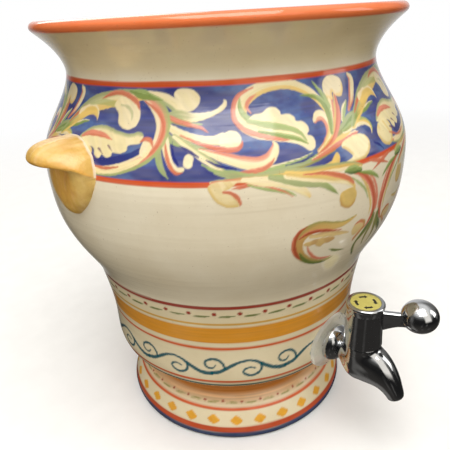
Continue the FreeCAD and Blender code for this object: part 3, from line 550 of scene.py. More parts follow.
# One side of the leaves that spill from the frieze over the tap.
CASCADE = motif(130, """
stroke honey left=sage right=pale_leaf root=rose: -48.6 234.6 .8, -44 235.2 1.4, -38 235.6 2,
-30 235.4 2.4, -22 234.8 2.4, -14 233.4 2.2, -9.6 231.6 .8;
shape straw rim=honey rim_from=-135 vein=pale_leaf: -49.5 231.5, -48.6 234, -46 234.9, -43 234.2,
-44.4 231, -45.8 229.2, -44.5 227.5, -43 225, -42.3 222.5, -43 220.2, -45.2 220, -47.3 222.4,
-48.7 226.5;
stroke coral: -46 229 .7, -44.4 228.2 1.1, -43.1 225.8 1.2, -42.4 222.6 .8, -42.4 220.8 .15;
stroke coral left=rose: -44.2 230.4 .2, -42 231.3 1.1, -39.6 232.4 .9;
stroke pale_green: -40.4 232.2 .4, -37 229.6 .8, -34 227.9 1.1, -31 225.6 1, -29.2 223.2 .15;
stroke rose: -39 232 .3, -35.5 230 .5, -32 226.4 .55, -30 222.8 .15;
stroke pale_leaf tip=leaf_yellow right=leaf_cream: -41.4 234.8 1.2, -37 233.4 2.5,
-33.5 231.7 2.4, -30 228.7 2.3, -27.5 225 2.1, -26 221.4 1.2, -25.9 220 .15;
stroke sage left=pale_green tip=green: -35 235 1.5, -30 231.4 2.4, -26 228.4 2, -22.5 226.6 1.8,
-19.8 222.9 1.5, -17.6 218.4 .15;
stroke honey left=leaf_yellow right=pale_leaf: -31 234.6 2, -25 232 3, -19.5 229 2.8,
-15.5 225.6 2.3, -13 221.4 1.4, -12.2 218.6 .2;
stroke coral right=rose: -27 233.9 .3, -22 232.8 1.1, -18 230 1.5, -15 226.8 1.6, -13.2 223.6 1.1,
-12.6 221.6 .15;
shape honey rim=toffee rim_from=-100 vein=leaf_yellow: -17 214, -16.8 218.2, -15.2 219.9,
-13 219.8, -11.7 217, -11.6 212.5, -12.6 208.6, -14.3 207.6, -16.2 209.8;
stroke pale_green: -13.4 226 .3, -10.8 221.5 .8, -8.2 216.5 .8, -6.4 209.6 .2;
stroke honey left=pale_leaf: -10.6 226.4 .6, -7.8 219.4 1.2, -5.8 211.4 1.2, -4.8 204.4 1.1,
-4.9 197.6 .3;
stroke russet left=coral right=rose: -12.4 228.4 .9, -9.2 225.6 1.9, -6.4 220 2.2, -4.6 213 2.1,
-3.3 205 2, -3.3 197 1.8, -4.8 190.6 .8, -6.4 187.6 .2;
stroke rose: -8 227.4 .3, -5 221.6 .8, -3.1 214 1, -2.2 206 .9, -2.1 199 .4;
stroke green left=pale_green: -10.4 227.8 .6, -7 226.2 1.5, -4.3 223.4 1.2, -2.2 219.8 .15;
stroke coral: -6.4 233.2 .6, -3.6 231.6 1.2, -.6 229.4 1, 2.4 227 .3;
stroke green left=pale_green right=dark_green: -15.4 230.5 .8, -12.8 230.4 2.7, -10.2 229.4 1.4""")

# One side of the scrolls at the foot of the cascade.
BELLY_SCROLL = motif(150, """
shape honey cover=.7: -11.2 190.6, -10.2 194.4, -7.6 195, -6.2 191.4, -7.2 187.4, -10.2 186.2;
stroke toffee right=rose root=coral: -10.6 194 .2, -8.4 195 1.1, -6.6 193.2 1.2, -6.1 190 .9,
-7.3 187 1.1, -9 183.6 1.1, -9.4 180.8 .15;
stroke honey left=toffee cover=.75: -24.6 195 1.2, -20 194.6 1.8, -16 192.6 1.6, -12.4 190.4 .4;
stroke toffee right=olive root=honey tip=olive: -10.8 200.6 .7, -14.5 198.6 1.7, -18.5 199.3 2.8,
-22.5 201 3.3, -26 199 3.7, -28 194 3.6, -28 188 3.2, -26.7 182 2.8, -24.2 176.7 2.4,
-20.8 173.3 1.8, -17 172.9 1, -15.4 174 .2;
stroke rust right=coral: -26 202.6 .3, -28.1 199.6 1.2, -29.2 194.4 1.5, -28.9 188 1.5,
-27.7 182.2 1.1, -26 177.8 .3;
stroke moss left=olive: -27.2 184.6 .4, -25.6 178.6 1.5, -22.6 174 1.4, -19 171.8 .9, -16.8 172 .2;
stroke rust left=rose: -28 195.4 .5, -25 198.2 1.2, -21 197.8 1.1, -18 196 .7, -15.2 194.6 .15;
shape toffee vein=honey cover=.85: -26.6 190.5, -25 192, -21.5 192.6, -18 191.5, -17 189.2,
-18.7 187.7, -20.3 187.8, -21.2 186, -22.4 187, -23.3 189, -25 188.4;
stroke coral left=rose: -25.3 188.4 .2, -24.6 184 .9, -22.8 179 1.1, -20.3 175.9 1,
-17.5 174.8 .7, -16.2 175.2 .15;
stroke moss left=olive: -17.9 181.8 .2, -15.5 179.2 1.2, -11.8 176.6 .2;
stroke moss left=olive tip=dark_green: -2.6 198 .5, -3 191.6 1.6, -4.4 187 2.2, -6 182.6 2,
-7.6 177.8 1.2, -7.4 173 1.2, -6.3 168.4 .9, -4.8 163.8 .15;
stroke olive right=moss: -2 196 .5, -2.4 189 1.5, -3.4 182 1.6, -3.4 176 .8, -2.8 172 .2""")

# One turn of the teal vine on the drum, with its two curls.
VINE = motif(400, """
stroke teal: -55 75.7 1.6, -52 76.7 1.6, -49.5 79.2 1.47, -47 82.5 1.47, -44.5 85.2 1.15,
-42 86.6 1.02, -40 86.8 1.02, -37.5 85.6 1.15, -35.4 82.9 1.47, -32.9 79.6 1.6, -30.4 76.9 1.6,
-27.5 75.3 1.73, -25 75.3 1.6;
stroke teal: -49.6 79.6 1.15, -50.3 84 1.15, -52 87.6 1.15, -54.5 88.6 1.15, -57 86.7 1.02,
-57.7 83.4 1.02, -56.5 80.4 .9, -54.5 80.3 .77, -53.4 82.8 .64;
stroke teal: -35.2 82.4 1.15, -35 78.3 1.15, -36.4 74.4 1.15, -39 72.4 1.15, -41.4 74 1.15,
-42.4 76.8 1.02, -41.4 79.4 .9, -39.4 80.1 .77, -37.7 78.9 .64""", seed_step=30)

# One of the gold diamonds round the foot.
DIAMOND = motif(300, """
shape marigold vein=ochre: -3.1 16.3, -1.8 18.4, 0 20, 1.8 18.3, 3.1 16.2, 1.8 14.2, 0 12.6,
-1.8 14.3""")

# A dot's outline, in shares of its half width and half height.
ROUND = ((-1, 0), (-.6, .75), (0, 1), (.6, .75), (1, 0), (.6, -.75), (0, -1), (-.6, -.75))

LINES = (                    # low level, high level, pigment
    (-9, 6.4, "navy"), (6.4, 11.2, "brick"), (23.1, 25.3, "orange_red"),
    (60.3, 63.2, "dark_teal"), (65.5, 67.8, "orange_red"), (97.2, 99.8, "orange_red"),
    (104, 118.8, "ochre"), (121.3, 123.2, "gold"), (136, 139.2, "dark_red"),
    (231.8, 234.8, "orange_red"), (280.6, 283.6, "orange_red"), (310.2, 400, "rim_orange"))


def draw(g, marks, offset=0.0):
    """Draws a motif, offset degrees further round the pot."""
    kept = g.azimuths
    g.azimuths = g.azimuths - offset
    g.x -= offset * MM_PER_DEGREE
    for mark, points, core, options in marks:
        mark(g, points, core, **options)
    g.azimuths = kept
    g.x += offset * MM_PER_DEGREE


def draw_mirrored(g, marks):
    """Draws a motif mirrored about the middle of the cascade."""
    kept = g.azimuths, g.x, g.y, g.colour, g.body
    g.azimuths = (2 * CASCADE_MIDDLE - g.azimuths)[::-1]
    g.x = (2 * CASCADE_MIDDLE * MM_PER_DEGREE - g.x)[:, ::-1]
    g.y, g.colour, g.body = g.y[:, ::-1], g.colour[:, ::-1], g.body[:, ::-1]
    draw(g, marks)
    g.azimuths, g.x, g.y, g.colour, g.body = kept


def draw_round(g, count, phase, marks):
    """Repeats marks round the pot, with the next seed each time."""
    for k in range(-count, count + 1):
        a = k * 360 / count + phase
        for mark, points, core, options in marks:
            mark(g, [(a + point[0], *point[1:]) for point in points], core,
                 **dict(options, seed=options["seed"] + k))


def dots(g, count, phase, level, half, high, core, seed):
    """A ring of dots at a level, half wide and high each way."""
    outline = [(half * u, level + high * v) for u, v in ROUND]
    draw_round(g, count, phase, [(Glaze.shape, outline, core, {"seed": seed})])


def dashes(g, count, phase, first, last, level, half, core, seed):
    """A ring of dashes, each from the first to the last azimuth past its place."""
    line = [(first, level - .3, half * .5), (lerp(first, last, .3), level, half),
            (lerp(first, last, .7), level + .1, half), (last, level + .3, half * .4)]
    draw_round(g, count, phase, [(Glaze.stroke, line, core, {"seed": seed})])


def frieze(g):
    """The blue ground with paler patches, partly painted sheen, and deeper ones, then the leaf
    scrolls.
    """
    g.band(*FRIEZE, "cobalt", soft=.4, uneven=.25, seed=200)
    area = g.window((-999, FRIEZE[0]), (999, FRIEZE[1]))
    x, y = g.x[area], g.y[area]
    inside = smoothstep(-.4, .4, y - FRIEZE[0]) * smoothstep(-.4, .4, FRIEZE[1] - y)
    # paler patches of blue: partly uneven brushing, partly painted sheen of the glaze
    pale = smoothstep(.36, .8, noise(x / 16 + y / 30, y / 7, 201))
    pale = pale * (.4 + .6 * noise(x / 2.5, y / 1.4, 202))
    g.lay(area, linear("pale_blue"), .7 * pale * inside, 1)
    deep = smoothstep(.5, .85, noise(x / 12, y / 9, 203)) * (.5 + .5 * noise(x / 3, y / 1.6, 204))
    g.lay(area, linear("deep_blue"), .6 * deep * inside, 1)
    for quarter in range(-3, 4):
        for marks in (SECOND_SCROLL, FEATHERS, ARCH, FAN):
            draw(g, marks, quarter * FRIEZE_TURN)


def painted(azimuths, levels):
    """The pot's whole decoration on a grid of azimuths and levels."""
    def meets(low, high):
        return levels.min() < high and levels.max() > low

    g = Glaze(azimuths, levels, "cream")
    # painted warm shade: the neck and the drum get a darker, yellower cream
    if meets(NECK_TURNS[0], TOP):
        g.lay(EVERYWHERE, linear("neck_shade_cream"), .8 * smoothstep(*NECK_TURNS, g.y))
    if meets(BOTTOM, DRUM_TURNS[0]):
        g.lay(EVERYWHERE, linear("drum_shade_cream"), .8 * smoothstep(*DRUM_TURNS, g.y))
    if meets(225, 290):
        frieze(g)
    if meets(BOTTOM, 61):
        g.band(28, 60.5, "peach", soft=3, cover=.8, uneven=.3, seed=190)
        g.band(34, 60.5, "brown_ochre", soft=3, uneven=.2, seed=194)
    for k, (low, high, pigment) in enumerate(LINES):
        if meets(low - 2, high + 2):
            g.band(low, high, pigment, soft=.45, seed=210 + 7 * k)
    if meets(BOTTOM, 30):
        draw_round(g, 31, -46.3, DIAMOND)
        dots(g, 36, -43.2, 29.0, .75, .7, "dark_red", 500)
        dashes(g, 36, -43.2, 1.8, 8.0, 28.2, .45, "olive", 540)
    if meets(60, 95):
        draw_round(g, 12, 0.0, VINE)
    if meets(125, 135):
        dots(g, 40, -43.0, 132.0, .9, 1.7, "dark_red", 580)
        dashes(g, 40, -43.0, 1.6, 7.4, 129.7, .75, "moss", 620)
    if meets(160, TOP):
        for marks in (CASCADE, BELLY_SCROLL):
            draw(g, marks)
            draw_mirrored(g, marks)
    return g


# ---------------------------------------------------------------- meshes
def linked(name, data):
    """A new object in the scene."""
    thing = bpy.data.objects.new(name, data)
    bpy.context.scene.collection.objects.link(thing)
    return thing


def grid_mesh(name, points, normals, closed, material):
    """A mesh from rows of points. Closed: the last column is the first again."""
    if closed:
        points, normals = points[:, :-1], normals[:, :-1]
    rows, columns = points.shape[:2]
    last = columns if closed else columns - 1
    row, column = np.meshgrid(np.arange(rows - 1), np.arange(last), indexing="ij")
    row, across = row * columns, (column + 1) % columns
    corners = np.stack([row + column, row + across, row + columns + across,
                        row + columns + column], axis=-1).reshape(-1, 4)
    mesh = bpy.data.meshes.new(name)
    mesh.vertices.add(rows * columns)
    mesh.vertices.foreach_set("co", (points.reshape(-1) * MM).astype(np.float32))
    mesh.loops.add(corners.size)
    mesh.loops.foreach_set("vertex_index", corners.reshape(-1).astype(np.int32))
    mesh.polygons.add(len(corners))
    mesh.polygons.foreach_set("loop_start", np.arange(0, corners.size, 4, dtype=np.int32))
    mesh.update(calc_edges=True)
    mesh.normals_split_custom_set_from_vertices(normals.reshape(-1, 3))
    mesh.materials.append(material)
    return linked(name, mesh)


def colour_points(piece, colours):
    """Stores a colour at each point of a mesh, for its material."""
    layer = piece.data.color_attributes.new("paint", "FLOAT_COLOR", "POINT")
    full = np.ones((len(piece.data.vertices), 4), np.float32)
    full[:, :3] = colours.reshape(-1, 3)
    layer.data.foreach_set("color", full.reshape(-1))


def closes(azimuths):
    """Whether azimuths go all the way round."""
    return azimuths[-1] - azimuths[0] > FULL_TURN


def turned_sheet(name, rows, azimuths, material):
    """Rows of an outline, with their normals, turned through the azimuths."""
    angle = np.radians(azimuths)
    ahead = np.stack([np.sin(angle), -np.cos(angle)], axis=-1)
    points, normals = np.empty((2, len(rows[0]), len(angle), 3))
    for places, row in ((points, rows[0]), (normals, rows[1])):
        places[:, :, :2] = row[:, None, :1] * ahead[None]
        places[:, :, 2] = row[:, None, 1]
    return grid_mesh(name, points, normals, closes(azimuths), material)


# ---------------------------------------------------------------- materials
def put(node, inputs):
    """Sets inputs of a node to numbers, colours, vectors or sockets; returns the node."""
    for name, value in inputs.items():
        socket = node.inputs[name]
        if isinstance(value, bpy.types.NodeSocket):
            node.id_data.links.new(value, socket)
        else:
            socket.default_value = (*value, 1.0) if socket.type == "RGBA" else value
    return node


def added(tree, kind, inputs=None, **settings):
    """A new node with its settings and inputs."""
    node = tree.nodes.new("ShaderNode" + kind)
    for name, value in settings.items():
        setattr(node, name, value)
    return put(node, inputs or {})


def new_material(name):
    material = bpy.data.materials.new(name)
    material.use_nodes = True
    tree = material.node_tree
    return material, tree, tree.nodes["Principled BSDF"]


def noise_node(tree, scale, detail=3.0, roughness=0.5, stretch=(1, 1, 1), seed=0.0):
    """Noise in the object's own coordinates, scale in cells per metre."""
    where = added(tree, "TexCoord").outputs["Object"]
    place = added(tree, "Mapping", {"Scale": stretch, "Vector": where,
                                    "Location": (seed, seed * 0.7, seed * 1.3)})
    return added(tree, "TexNoise", {"Scale": scale, "Detail": detail, "Roughness": roughness,
                                    "Vector": place.outputs["Vector"]}).outputs["Fac"]


def ranged(value, low, high, to_low=0.0, to_high=1.0):
    """Carries low to to_low and high to to_high, and holds what lies beyond."""
    return added(value.id_data, "MapRange", {
        "From Min": low, "From Max": high, "To Min": to_low, "To Max": to_high,
        "Value": value}).outputs["Result"]


def mixed(factor, first, second, blend="MIX"):
    """Mixes two colours, each an RGB triple or a socket."""
    return added(factor.id_data, "Mix", {0: factor, 6: first, 7: second},
                 data_type="RGBA", blend_type=blend).outputs[2]


def multiplied(one, other):
    return added(one.id_data, "Math", {0: one, 1: other}, operation="MULTIPLY").outputs[0]


def mixed_shader(factor, first, second):
    return added(factor.id_data, "MixShader", {0: factor, 1: first, 2: second}).outputs[0]


def bumps(shader, *layers):
    """Chains bump layers, each (height socket, height in metres)."""
    normal = {}
    for height, depth in layers:
        node = added(shader.id_data, "Bump", {"Strength": 1.0, "Distance": depth,
                                              "Height": height, **normal})
        normal = {"Normal": node.outputs["Normal"]}
    put(shader, normal)


def attribute(tree, name, output="Color"):
    return added(tree, "Attribute", attribute_name=name).outputs[output]


def painted_glaze():
    """White tin glaze with painted pigments, glossy and a little uneven."""
    material, tree, shader = new_material("painted_glaze_look")
    cloud = ranged(noise_node(tree, 26, 4, 0.55), 0.35, 0.7)
    speck = ranged(noise_node(tree, 900, 2, 0.5, seed=3.0), 0.70, 0.76)
    colour = mixed(ranged(cloud, 0, 1, 0.0, 0.22), attribute(tree, "paint"),
                   linear((214, 198, 168)), "MULTIPLY")
    colour = mixed(ranged(speck, 0, 1, 0.0, 0.5), colour, linear((150, 118, 84)))
    rough = ranged(noise_node(tree, 60, 4, 0.6, seed=5.0), 0.3, 0.7, 0.10, 0.20)
    put(shader, {"Base Color": colour, "Roughness": rough, "IOR": 1.5, "Coat Weight": 0.25,
                 "Coat Roughness": 0.05})
    rings = noise_node(tree, 9, 2, 0.5, stretch=(0.6, 0.6, 28.0), seed=7.0)
    ripple = noise_node(tree, 55, 3, 0.5, seed=9.0)
    bumps(shader, (rings, 0.00025), (ripple, 0.00025),
          (attribute(tree, "body", "Fac"), 0.00012))
    return material


def bare_clay():
    """Unglazed fired clay, dull and gritty."""
    material, tree, shader = new_material("bare_clay_look")
    blotch = ranged(noise_node(tree, 45, 5, 0.6), 0.3, 0.7)
    colour = mixed(blotch, linear((178, 132, 98)), linear((206, 166, 130)))
    grit = ranged(noise_node(tree, 1100, 3, 0.6, seed=2.0), 0.6, 0.75, 0.0, 0.6)
    put(shader, {"Base Color": mixed(grit, colour, linear((112, 76, 54))),
                 "Roughness": ranged(blotch, 0, 1, 0.78, 0.92)})
    bumps(shader, (noise_node(tree, 700, 4, 0.6, seed=4.0), 0.0004),
          (noise_node(tree, 30, 2, 0.5, stretch=(0.3, 0.3, 8.0), seed=6.0), 0.0006))
    return material


def ochre_glaze():
    """Thick ochre glaze, paler where it runs thin at the joint; its paint also holds painted light
    and shade.
    """
    material, tree, shader = new_material("ochre_glaze_look")
    cloud = ranged(noise_node(tree, 140, 4, 0.6, seed=1.0), 0.3, 0.7)
    colour = mixed(ranged(cloud, 0, 1, 0.0, 0.4), attribute(tree, "paint"),
                   linear((216, 176, 110)), "MULTIPLY")
    speck = ranged(noise_node(tree, 1500, 2, 0.5, seed=3.0), 0.68, 0.76, 0.0, 0.5)
    rough = ranged(noise_node(tree, 90, 3, 0.5, seed=5.0), 0.3, 0.7, 0.32, 0.45)
    put(shader, {"Base Color": mixed(speck, colour, linear((120, 78, 30))),
                 "Roughness": rough, "Coat Weight": 0.12, "Coat Roughness": 0.12})
    bumps(shader, (noise_node(tree, 120, 3, 0.5, seed=8.0), 0.0010),
          (noise_node(tree, 600, 2, 0.5, seed=9.0), 0.00012))
    return material


def chrome():
    """Bright nickel-chrome plate with faint smudges."""
    material, tree, shader = new_material("chrome_look")
    smudge = ranged(noise_node(tree, 160, 5, 0.6, seed=1.0), 0.45, 0.7)
    colour = mixed(ranged(smudge, 0, 1, 0.0, 0.5), CHROME,
                   tuple(0.86 * part for part in CHROME))
    put(shader, {"Base Color": colour, "Metallic": 1.0,
                 "Roughness": ranged(smudge, 0, 1, 0.07, 0.2)})
    bumps(shader, (noise_node(tree, 240, 2, 0.5, seed=4.0), 0.00006))
    return material


def metal(name, tone, dull, rough, grain):
    """Plain machined metal with turning marks and stains."""
    material, tree, shader = new_material(name)
    stain = ranged(noise_node(tree, 220, 5, 0.65, seed=2.0), 0.4, 0.7)
    put(shader, {"Base Color": mixed(stain, linear(tone), linear(dull)), "Metallic": 1.0,
                 "Roughness": ranged(stain, 0, 1, rough, rough + 0.2)})
    bumps(shader, (noise_node(tree, 400, 2, 0.5, stretch=(1, grain, 1), seed=5.0), 0.00005))
    return material


def soft_clear():
    """Clear rubber gone a little cloudy."""
    material, tree, shader = new_material("clear_rubber_look")
    cloud = ranged(noise_node(tree, 190, 4, 0.6), 0.3, 0.7)
    put(shader, {"Base Color": mixed(cloud, (0.93, 0.92, 0.88), (0.80, 0.79, 0.72)),
                 "Roughness": ranged(cloud, 0, 1, 0.25, 0.4),
                 "Transmission Weight": 0.75, "IOR": 1.12})
    bumps(shader, (noise_node(tree, 160, 2, 0.5, seed=4.0), 0.00003))
    return material


def dull_plastic(name, first, second, rough):
    material, tree, shader = new_material(name)
    cloud = ranged(noise_node(tree, 300, 4, 0.6), 0.3, 0.7)
    put(shader, {"Base Color": mixed(cloud, linear(first), linear(second)),
                 "Roughness": ranged(cloud, 0, 1, rough, rough + 0.15)})
    bumps(shader, (noise_node(tree, 1500, 3, 0.5, seed=4.0), 0.00006))
    return material


def printed_disc():
    """The pale plastic disc, its marks painted on its points."""
    material, tree, shader = new_material("index_disc_look")
    cloud = ranged(noise_node(tree, 400, 4, 0.6), 0.3, 0.7, 0.0, 0.25)
    colour = mixed(cloud, attribute(tree, "paint"), linear((206, 196, 120)), "MULTIPLY")
    put(shader, {"Base Color": colour, "Roughness": ranged(cloud, 0, 0.25, 0.30, 0.42)})
    bumps(shader, (noise_node(tree, 1600, 3, 0.5, seed=4.0), 0.00004))
    return material


# ---------------------------------------------------------------- the pot's skin
def turns(first, last, radius, step):
    """Azimuths about a step apart at a radius."""
    count = max(int(math.radians(last - first) * radius / (step * coarse)), 24)
    return np.linspace(first, last, count + 1)


def pot_piece(name, rows, azimuths, material, glaze=None):
    """A turned part of the pot, with its paint."""
    piece = turned_sheet(name, rows, azimuths, material)
    if glaze is not None:
        whole = slice(None, -1) if closes(azimuths) else EVERYWHERE
        colour_points(piece, glaze.colour[:, whole])
        layer = piece.data.attributes.new("body", "FLOAT", "POINT")
        layer.data.foreach_set("value", glaze.body[:, whole].reshape(-1).astype(np.float32))
    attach(piece, "pot")
    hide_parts("pot_body")


def painted_part(name, low, high, first, last, step):
    """One painted part of the outside, between two levels and two azimuths."""
    rows = outer.rows(outer.at_level(low), outer.at_level(high), step * coarse)
    azimuths = turns(first, last, rows[0][:, 0].max(), step)
    levels = np.maximum.accumulate(rows[0][:, 1] + np.arange(len(rows[0])) * 1e-7)
    pot_piece(name, rows, azimuths, glaze_look, painted(azimuths, levels))


def inside_and_underside():
    lip = inner.rows(0, INNER_LIP, 0.7 * coarse)
    rest = inner.rows(INNER_LIP, inner.along[-1], 2.2 * coarse)
    rows = [np.vstack([a[:-1], b]) for a, b in zip(lip, rest)]
    rows[0] = np.vstack([rows[0], (MIDDLE_HOLE, rows[0][-1, 1])])
    rows[1] = np.vstack([rows[1], (0, 1)])
    azimuths = turns(-180, 180, rows[0][0, 0], 1.9)
    glaze = Glaze(azimuths, np.arange(len(rows[0])), "cream")
    end = INNER_RIM_COLOUR + (noise(azimuths / 9.0, azimuths * 0, 92) - 0.5) * 0.6
    cover = smoothstep(0.4, -0.4, lengths(rows[0])[:, None] - end[None])
    glaze.lay(EVERYWHERE, linear("rim_orange"), cover, 0.6)
    pot_piece("pot_inside", rows, azimuths, glaze_look, glaze)
    rows = under.rows(0, under.along[-1], 2.2 * coarse)
    rows[0] = np.vstack([(MIDDLE_HOLE, rows[0][0, 1]), rows[0]])
    rows[1] = np.vstack([(0, -1), rows[1]])
    pot_piece("pot_underside", rows, turns(-180, 180, UNDER_RADIUS, 2.2), bare_clay())


rings = turned_outline("pot_body")
foot = int(np.lexsort((-rings[:, 0], rings[:, 1]))[0])
top = int(rings[:, 1].argmax())
glaze_look = painted_glaze()
coarse = 1.0
outer = Outline(rings[foot:top + 1])
inner = Outline(rings[top:])
under = Outline(rings[:foot + 1])
painted_part("pot_foot", -1, DRUM_EDGE, -180, 180, 1.1)
painted_part("pot_drum", DRUM_EDGE, SEAM, -180, 180, 0.95)
painted_part("pot_belly_front", SEAM, BELLY_MIDDLE, -75, 75, 0.75)
painted_part("pot_belly_back", SEAM, BELLY_MIDDLE, 75, 285, 1.6)
painted_part("pot_frieze_front", BELLY_MIDDLE, NECK, -105, 75, 0.6)
painted_part("pot_frieze_back", BELLY_MIDDLE, NECK, 75, 255, 0.6)
painted_part("pot_neck", NECK, TOP, -180, 180, 1.0)
inside_and_underside()

# ---------------------------------------------------------------- lugs
LUG_AZIMUTH = 89.5
LUG_HALF_WIDTH = 25.4
LUG_LOW, LUG_HIGH = 206.0, 253.6
# Share of the half width; shares of the height where the lug's edge runs there, below and above.
LUG_EDGE = numbers("""0 0 1, .12 .004 .992, .24 .03 .973, .42 .10 .935, .58 .17 .885,
.7 .24 .845, .8 .31 .80, .89 .395 .73, .95 .46 .67, .985 .52 .62, 1 .57 .57""")
# Share of the height and distance from the wall, from the top edge to the bottom edge.
LUG_MIDDLE = numbers("""1 -1.5, 1 1, 1 8, .998 15, .99 20.5, .972 24.6, .94 26.9, .90 27.3,
.865 26.4, .835 23.5, .81 19, .785 13.6, .75 9.6, .69 7.2, .60 6.3, .47 6, .33 6, .20 5.6,
.10 4.6, .03 2.8, 0 .5, 0 -1.5""")
LUG_CHEEK = numbers("""1 -1.5, 1 1, .995 4.5, .985 8, .965 11.5, .94 14.5, .91 17, .88 19,
.85 20.4, .825 21.2, .80 21.6, .77 21.7, .73 21.2, .67 19.8, .59 17.4, .50 14.6, .40 11.6,
.29 8.9, .18 6.4, .08 4.1, 0 .5, 0 -1.5""")
CHEEK_POWER = 2.0            # how late the hollow's wall rises towards the sides
BACK_CHEEK = 0.3             # how much of the cheek the back side has
BACK_FULLNESS = 1.8          # how much longer the ledge stays high at the back than in front
PLAN_POWER = 2.3             # how full the lug is seen from above
LEDGE_FOOT = 0.755           # share of the height at the ledge's lower edge, all along it
FOOT_RISE = 0.16             # share that this edge rises at most in a narrow end's profile
PROFILE_FOOT = 0.835         # share where that edge is in the profiles above
FLUTES, FLUTE_DEPTH = 13.0, 0.28    # the soft grooves along the ledge, and mm between them
LUG_ROWS, LUG_COLUMNS = 190, 150
LUG_NORMAL_ROUNDS = 160      # how often the shading of the cheeks is evened out


def evened(field):
    """Each value of a grid drawn towards its neighbours'."""
    for axis in (0, 1):
        edged = np.pad(field, [(int(k == axis),) * 2 for k in range(3)], mode="edge")
        size = edged.shape[axis]
        field = (np.take(edged, range(2, size), axis) + np.take(edged, range(size - 2), axis)
                 + 2 * field) / 4
    return field


def lug(node, side):
    """A finger lug: a rounded ledge over a smooth hollow, in thick glaze."""
    w = np.sin(np.linspace(-1, 1, int(LUG_COLUMNS / coarse)) * math.pi / 2)[None]
    wide, back = np.abs(w), w > 0
    t = np.linspace(0, 1, int(LUG_ROWS / coarse))
    middle, cheek = (
        np.column_stack([np.interp(t, np.linspace(0, 1, len(form)), form[:, k]) for k in (0, 1)])
        for form in (flowing(LUG_MIDDLE, 10), flowing(LUG_CHEEK, 10)))
    upper = smoothstep(0.70, 0.83, middle[:, :1])
    to_cheek = lerp(wide ** CHEEK_POWER, smoothstep(0.25, 0.8, wide), upper)
    to_cheek = to_cheek * np.where(back, BACK_CHEEK, 1.0)
    share = lerp(middle[:, :1], cheek[:, :1], to_cheek)
    out = lerp(middle[:, 1:], cheek[:, 1:], to_cheek)
    out = np.where(out > 0, out * (1 - wide ** PLAN_POWER) ** 0.5, out)
    low, high = (flowing([(row[0], row[k]) for row in LUG_EDGE], 10) for k in (1, 2))
    low = np.interp(wide, *low.T)
    high = np.interp(wide ** np.where(back, BACK_FULLNESS, 1.0), *high.T)
    spare = (LEDGE_FOOT - low) / np.maximum(high - low, NONE) - LEDGE_FOOT
    foot = LEDGE_FOOT + FOOT_RISE * np.tanh(spare / FOOT_RISE)
    place = np.where(share < PROFILE_FOOT, share * foot / PROFILE_FOOT,
                     foot + (share - PROFILE_FOOT) * (1 - foot) / (1 - PROFILE_FOOT))
    level = LUG_LOW + (LUG_HIGH - LUG_LOW) * (low + (high - low) * place)
    along = w * LUG_HALF_WIDTH + 0 * level
    on_ledge = (smoothstep(0.8, 0.92, share) * smoothstep(3, 12, out)
                * smoothstep(0.65, 0.35, w))
    flute = math.tau * (along + 0.12 * out) / FLUTES
    out = out + FLUTE_DEPTH * on_ledge * np.sin(flute + 0.8)
    level = level + FLUTE_DEPTH * on_ledge * np.sin(flute + 1.6)
    skin = np.interp(level, outer.points[:, 1], outer.points[:, 0])
    outward = np.sqrt(skin ** 2 - along ** 2) + out
    angle = math.radians(side * LUG_AZIMUTH)
    ahead = np.array([math.sin(angle), -math.cos(angle)])
    across = side * np.array([math.cos(angle), math.sin(angle)])
    points = np.empty(level.shape + (3,))
    points[..., :2] = outward[..., None] * ahead + along[..., None] * across
    points[..., 2] = level
    if side > 0:
        points, share, out, along = (field[:, ::-1] for field in (points, share, out, along))
    aside = np.abs(along) / LUG_HALF_WIDTH
    normals = unit(np.cross(np.gradient(points, axis=1), np.gradient(points, axis=0)), NONE)
    soft = normals
    for _ in range(int(LUG_NORMAL_ROUNDS / coarse ** 2)):
        soft = evened(soft)
    normals = unit(lerp(normals, soft, smoothstep(0.1, 0.4, aside)[..., None]))
    piece = grid_mesh(node + "_glazed", points, normals, False, ochre_look)
    streak = noise(along / 1.8 + 40, share * 5 + out / 12, 71)
    broad = noise(along / 5 + 9, share * 3 + out / 16, 73)
    # painted light: the ochre is a little lighter where the lug faces up, mixed with random streaks
    # of tone
    lit = smoothstep(0.3, 0.9, 0.12 * normals[..., 2] + 0.5 * streak + 0.5 * broad)
    # painted shade: a deeper, darker ochre in the hollow under the ledge
    hollow = (smoothstep(0.80, 0.70, share) * smoothstep(0.05, 0.4, share)
              * smoothstep(0.8, 0.35, aside))
    # painted light: the cheeks, which face down and out, are painted paler
    cheeks = smoothstep(0.35, 0.8, aside) * smoothstep(0.82, 0.74, share)
    # painted shade on the ledge's underside as well
    nose = smoothstep(0.93, 0.86, share) * smoothstep(0.76, 0.80, share)
    wave = 0.9 * (noise(along / 2.0, share * 25, 72) - 0.5)
    rim = (smoothstep(1.9, 0.9, out + wave) * smoothstep(0.45, 0.6, share)
           * smoothstep(0.6, 0.35, along / LUG_HALF_WIDTH))
    colour = lerp(linear("lug_gold"), linear("lug_top"), lit[..., None])
    # in order: painted shade in the hollow, painted light on the cheeks, painted shade under the
    # ledge, and the glaze's own pale edge at the joint
    for tint, cover in (("lug_painted_shade", 0.6 * hollow * (0.6 + 0.4 * streak)),
                        ("lug_painted_light", 0.8 * cheeks * (0.7 + 0.3 * broad)),
                        ("lug_painted_shade", 0.45 * nose), ("edge_cream", 0.85 * rim)):
        colour = tinted(colour, tint, cover)
    colour_points(piece, colour)
    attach(piece, "pot")
    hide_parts(node)


ochre_look = ochre_glaze()
lug("lug_left", -1)
lug("lug_right", 1)

# ---------------------------------------------------------------- index disc
DISC_EDGE = 0.25             # rounding of its rim
DISC_HOLE = 0.02             # keeps its middle from closing to one point
DISC_RINGS, DISC_SIDES = 46, 240
MARK_RING = 0.62             # share of the disc's radius
MARK_HALF_TURN = 27.0
MARK_HALF_WIDTH = 0.95
MARK_HEAD = 17.0             # degrees of each mark that are its pointed head
HEAD_WIDTH = 2.1             # the head's, in widths of the mark


def measured(box):
    """Low and high corner, middle and radius in mm of a round node's box."""
    low, high = (np.array(corner) / MM for corner in box)
    return low, high, (low + high) / 2, (high[0] - low[0]) / 2


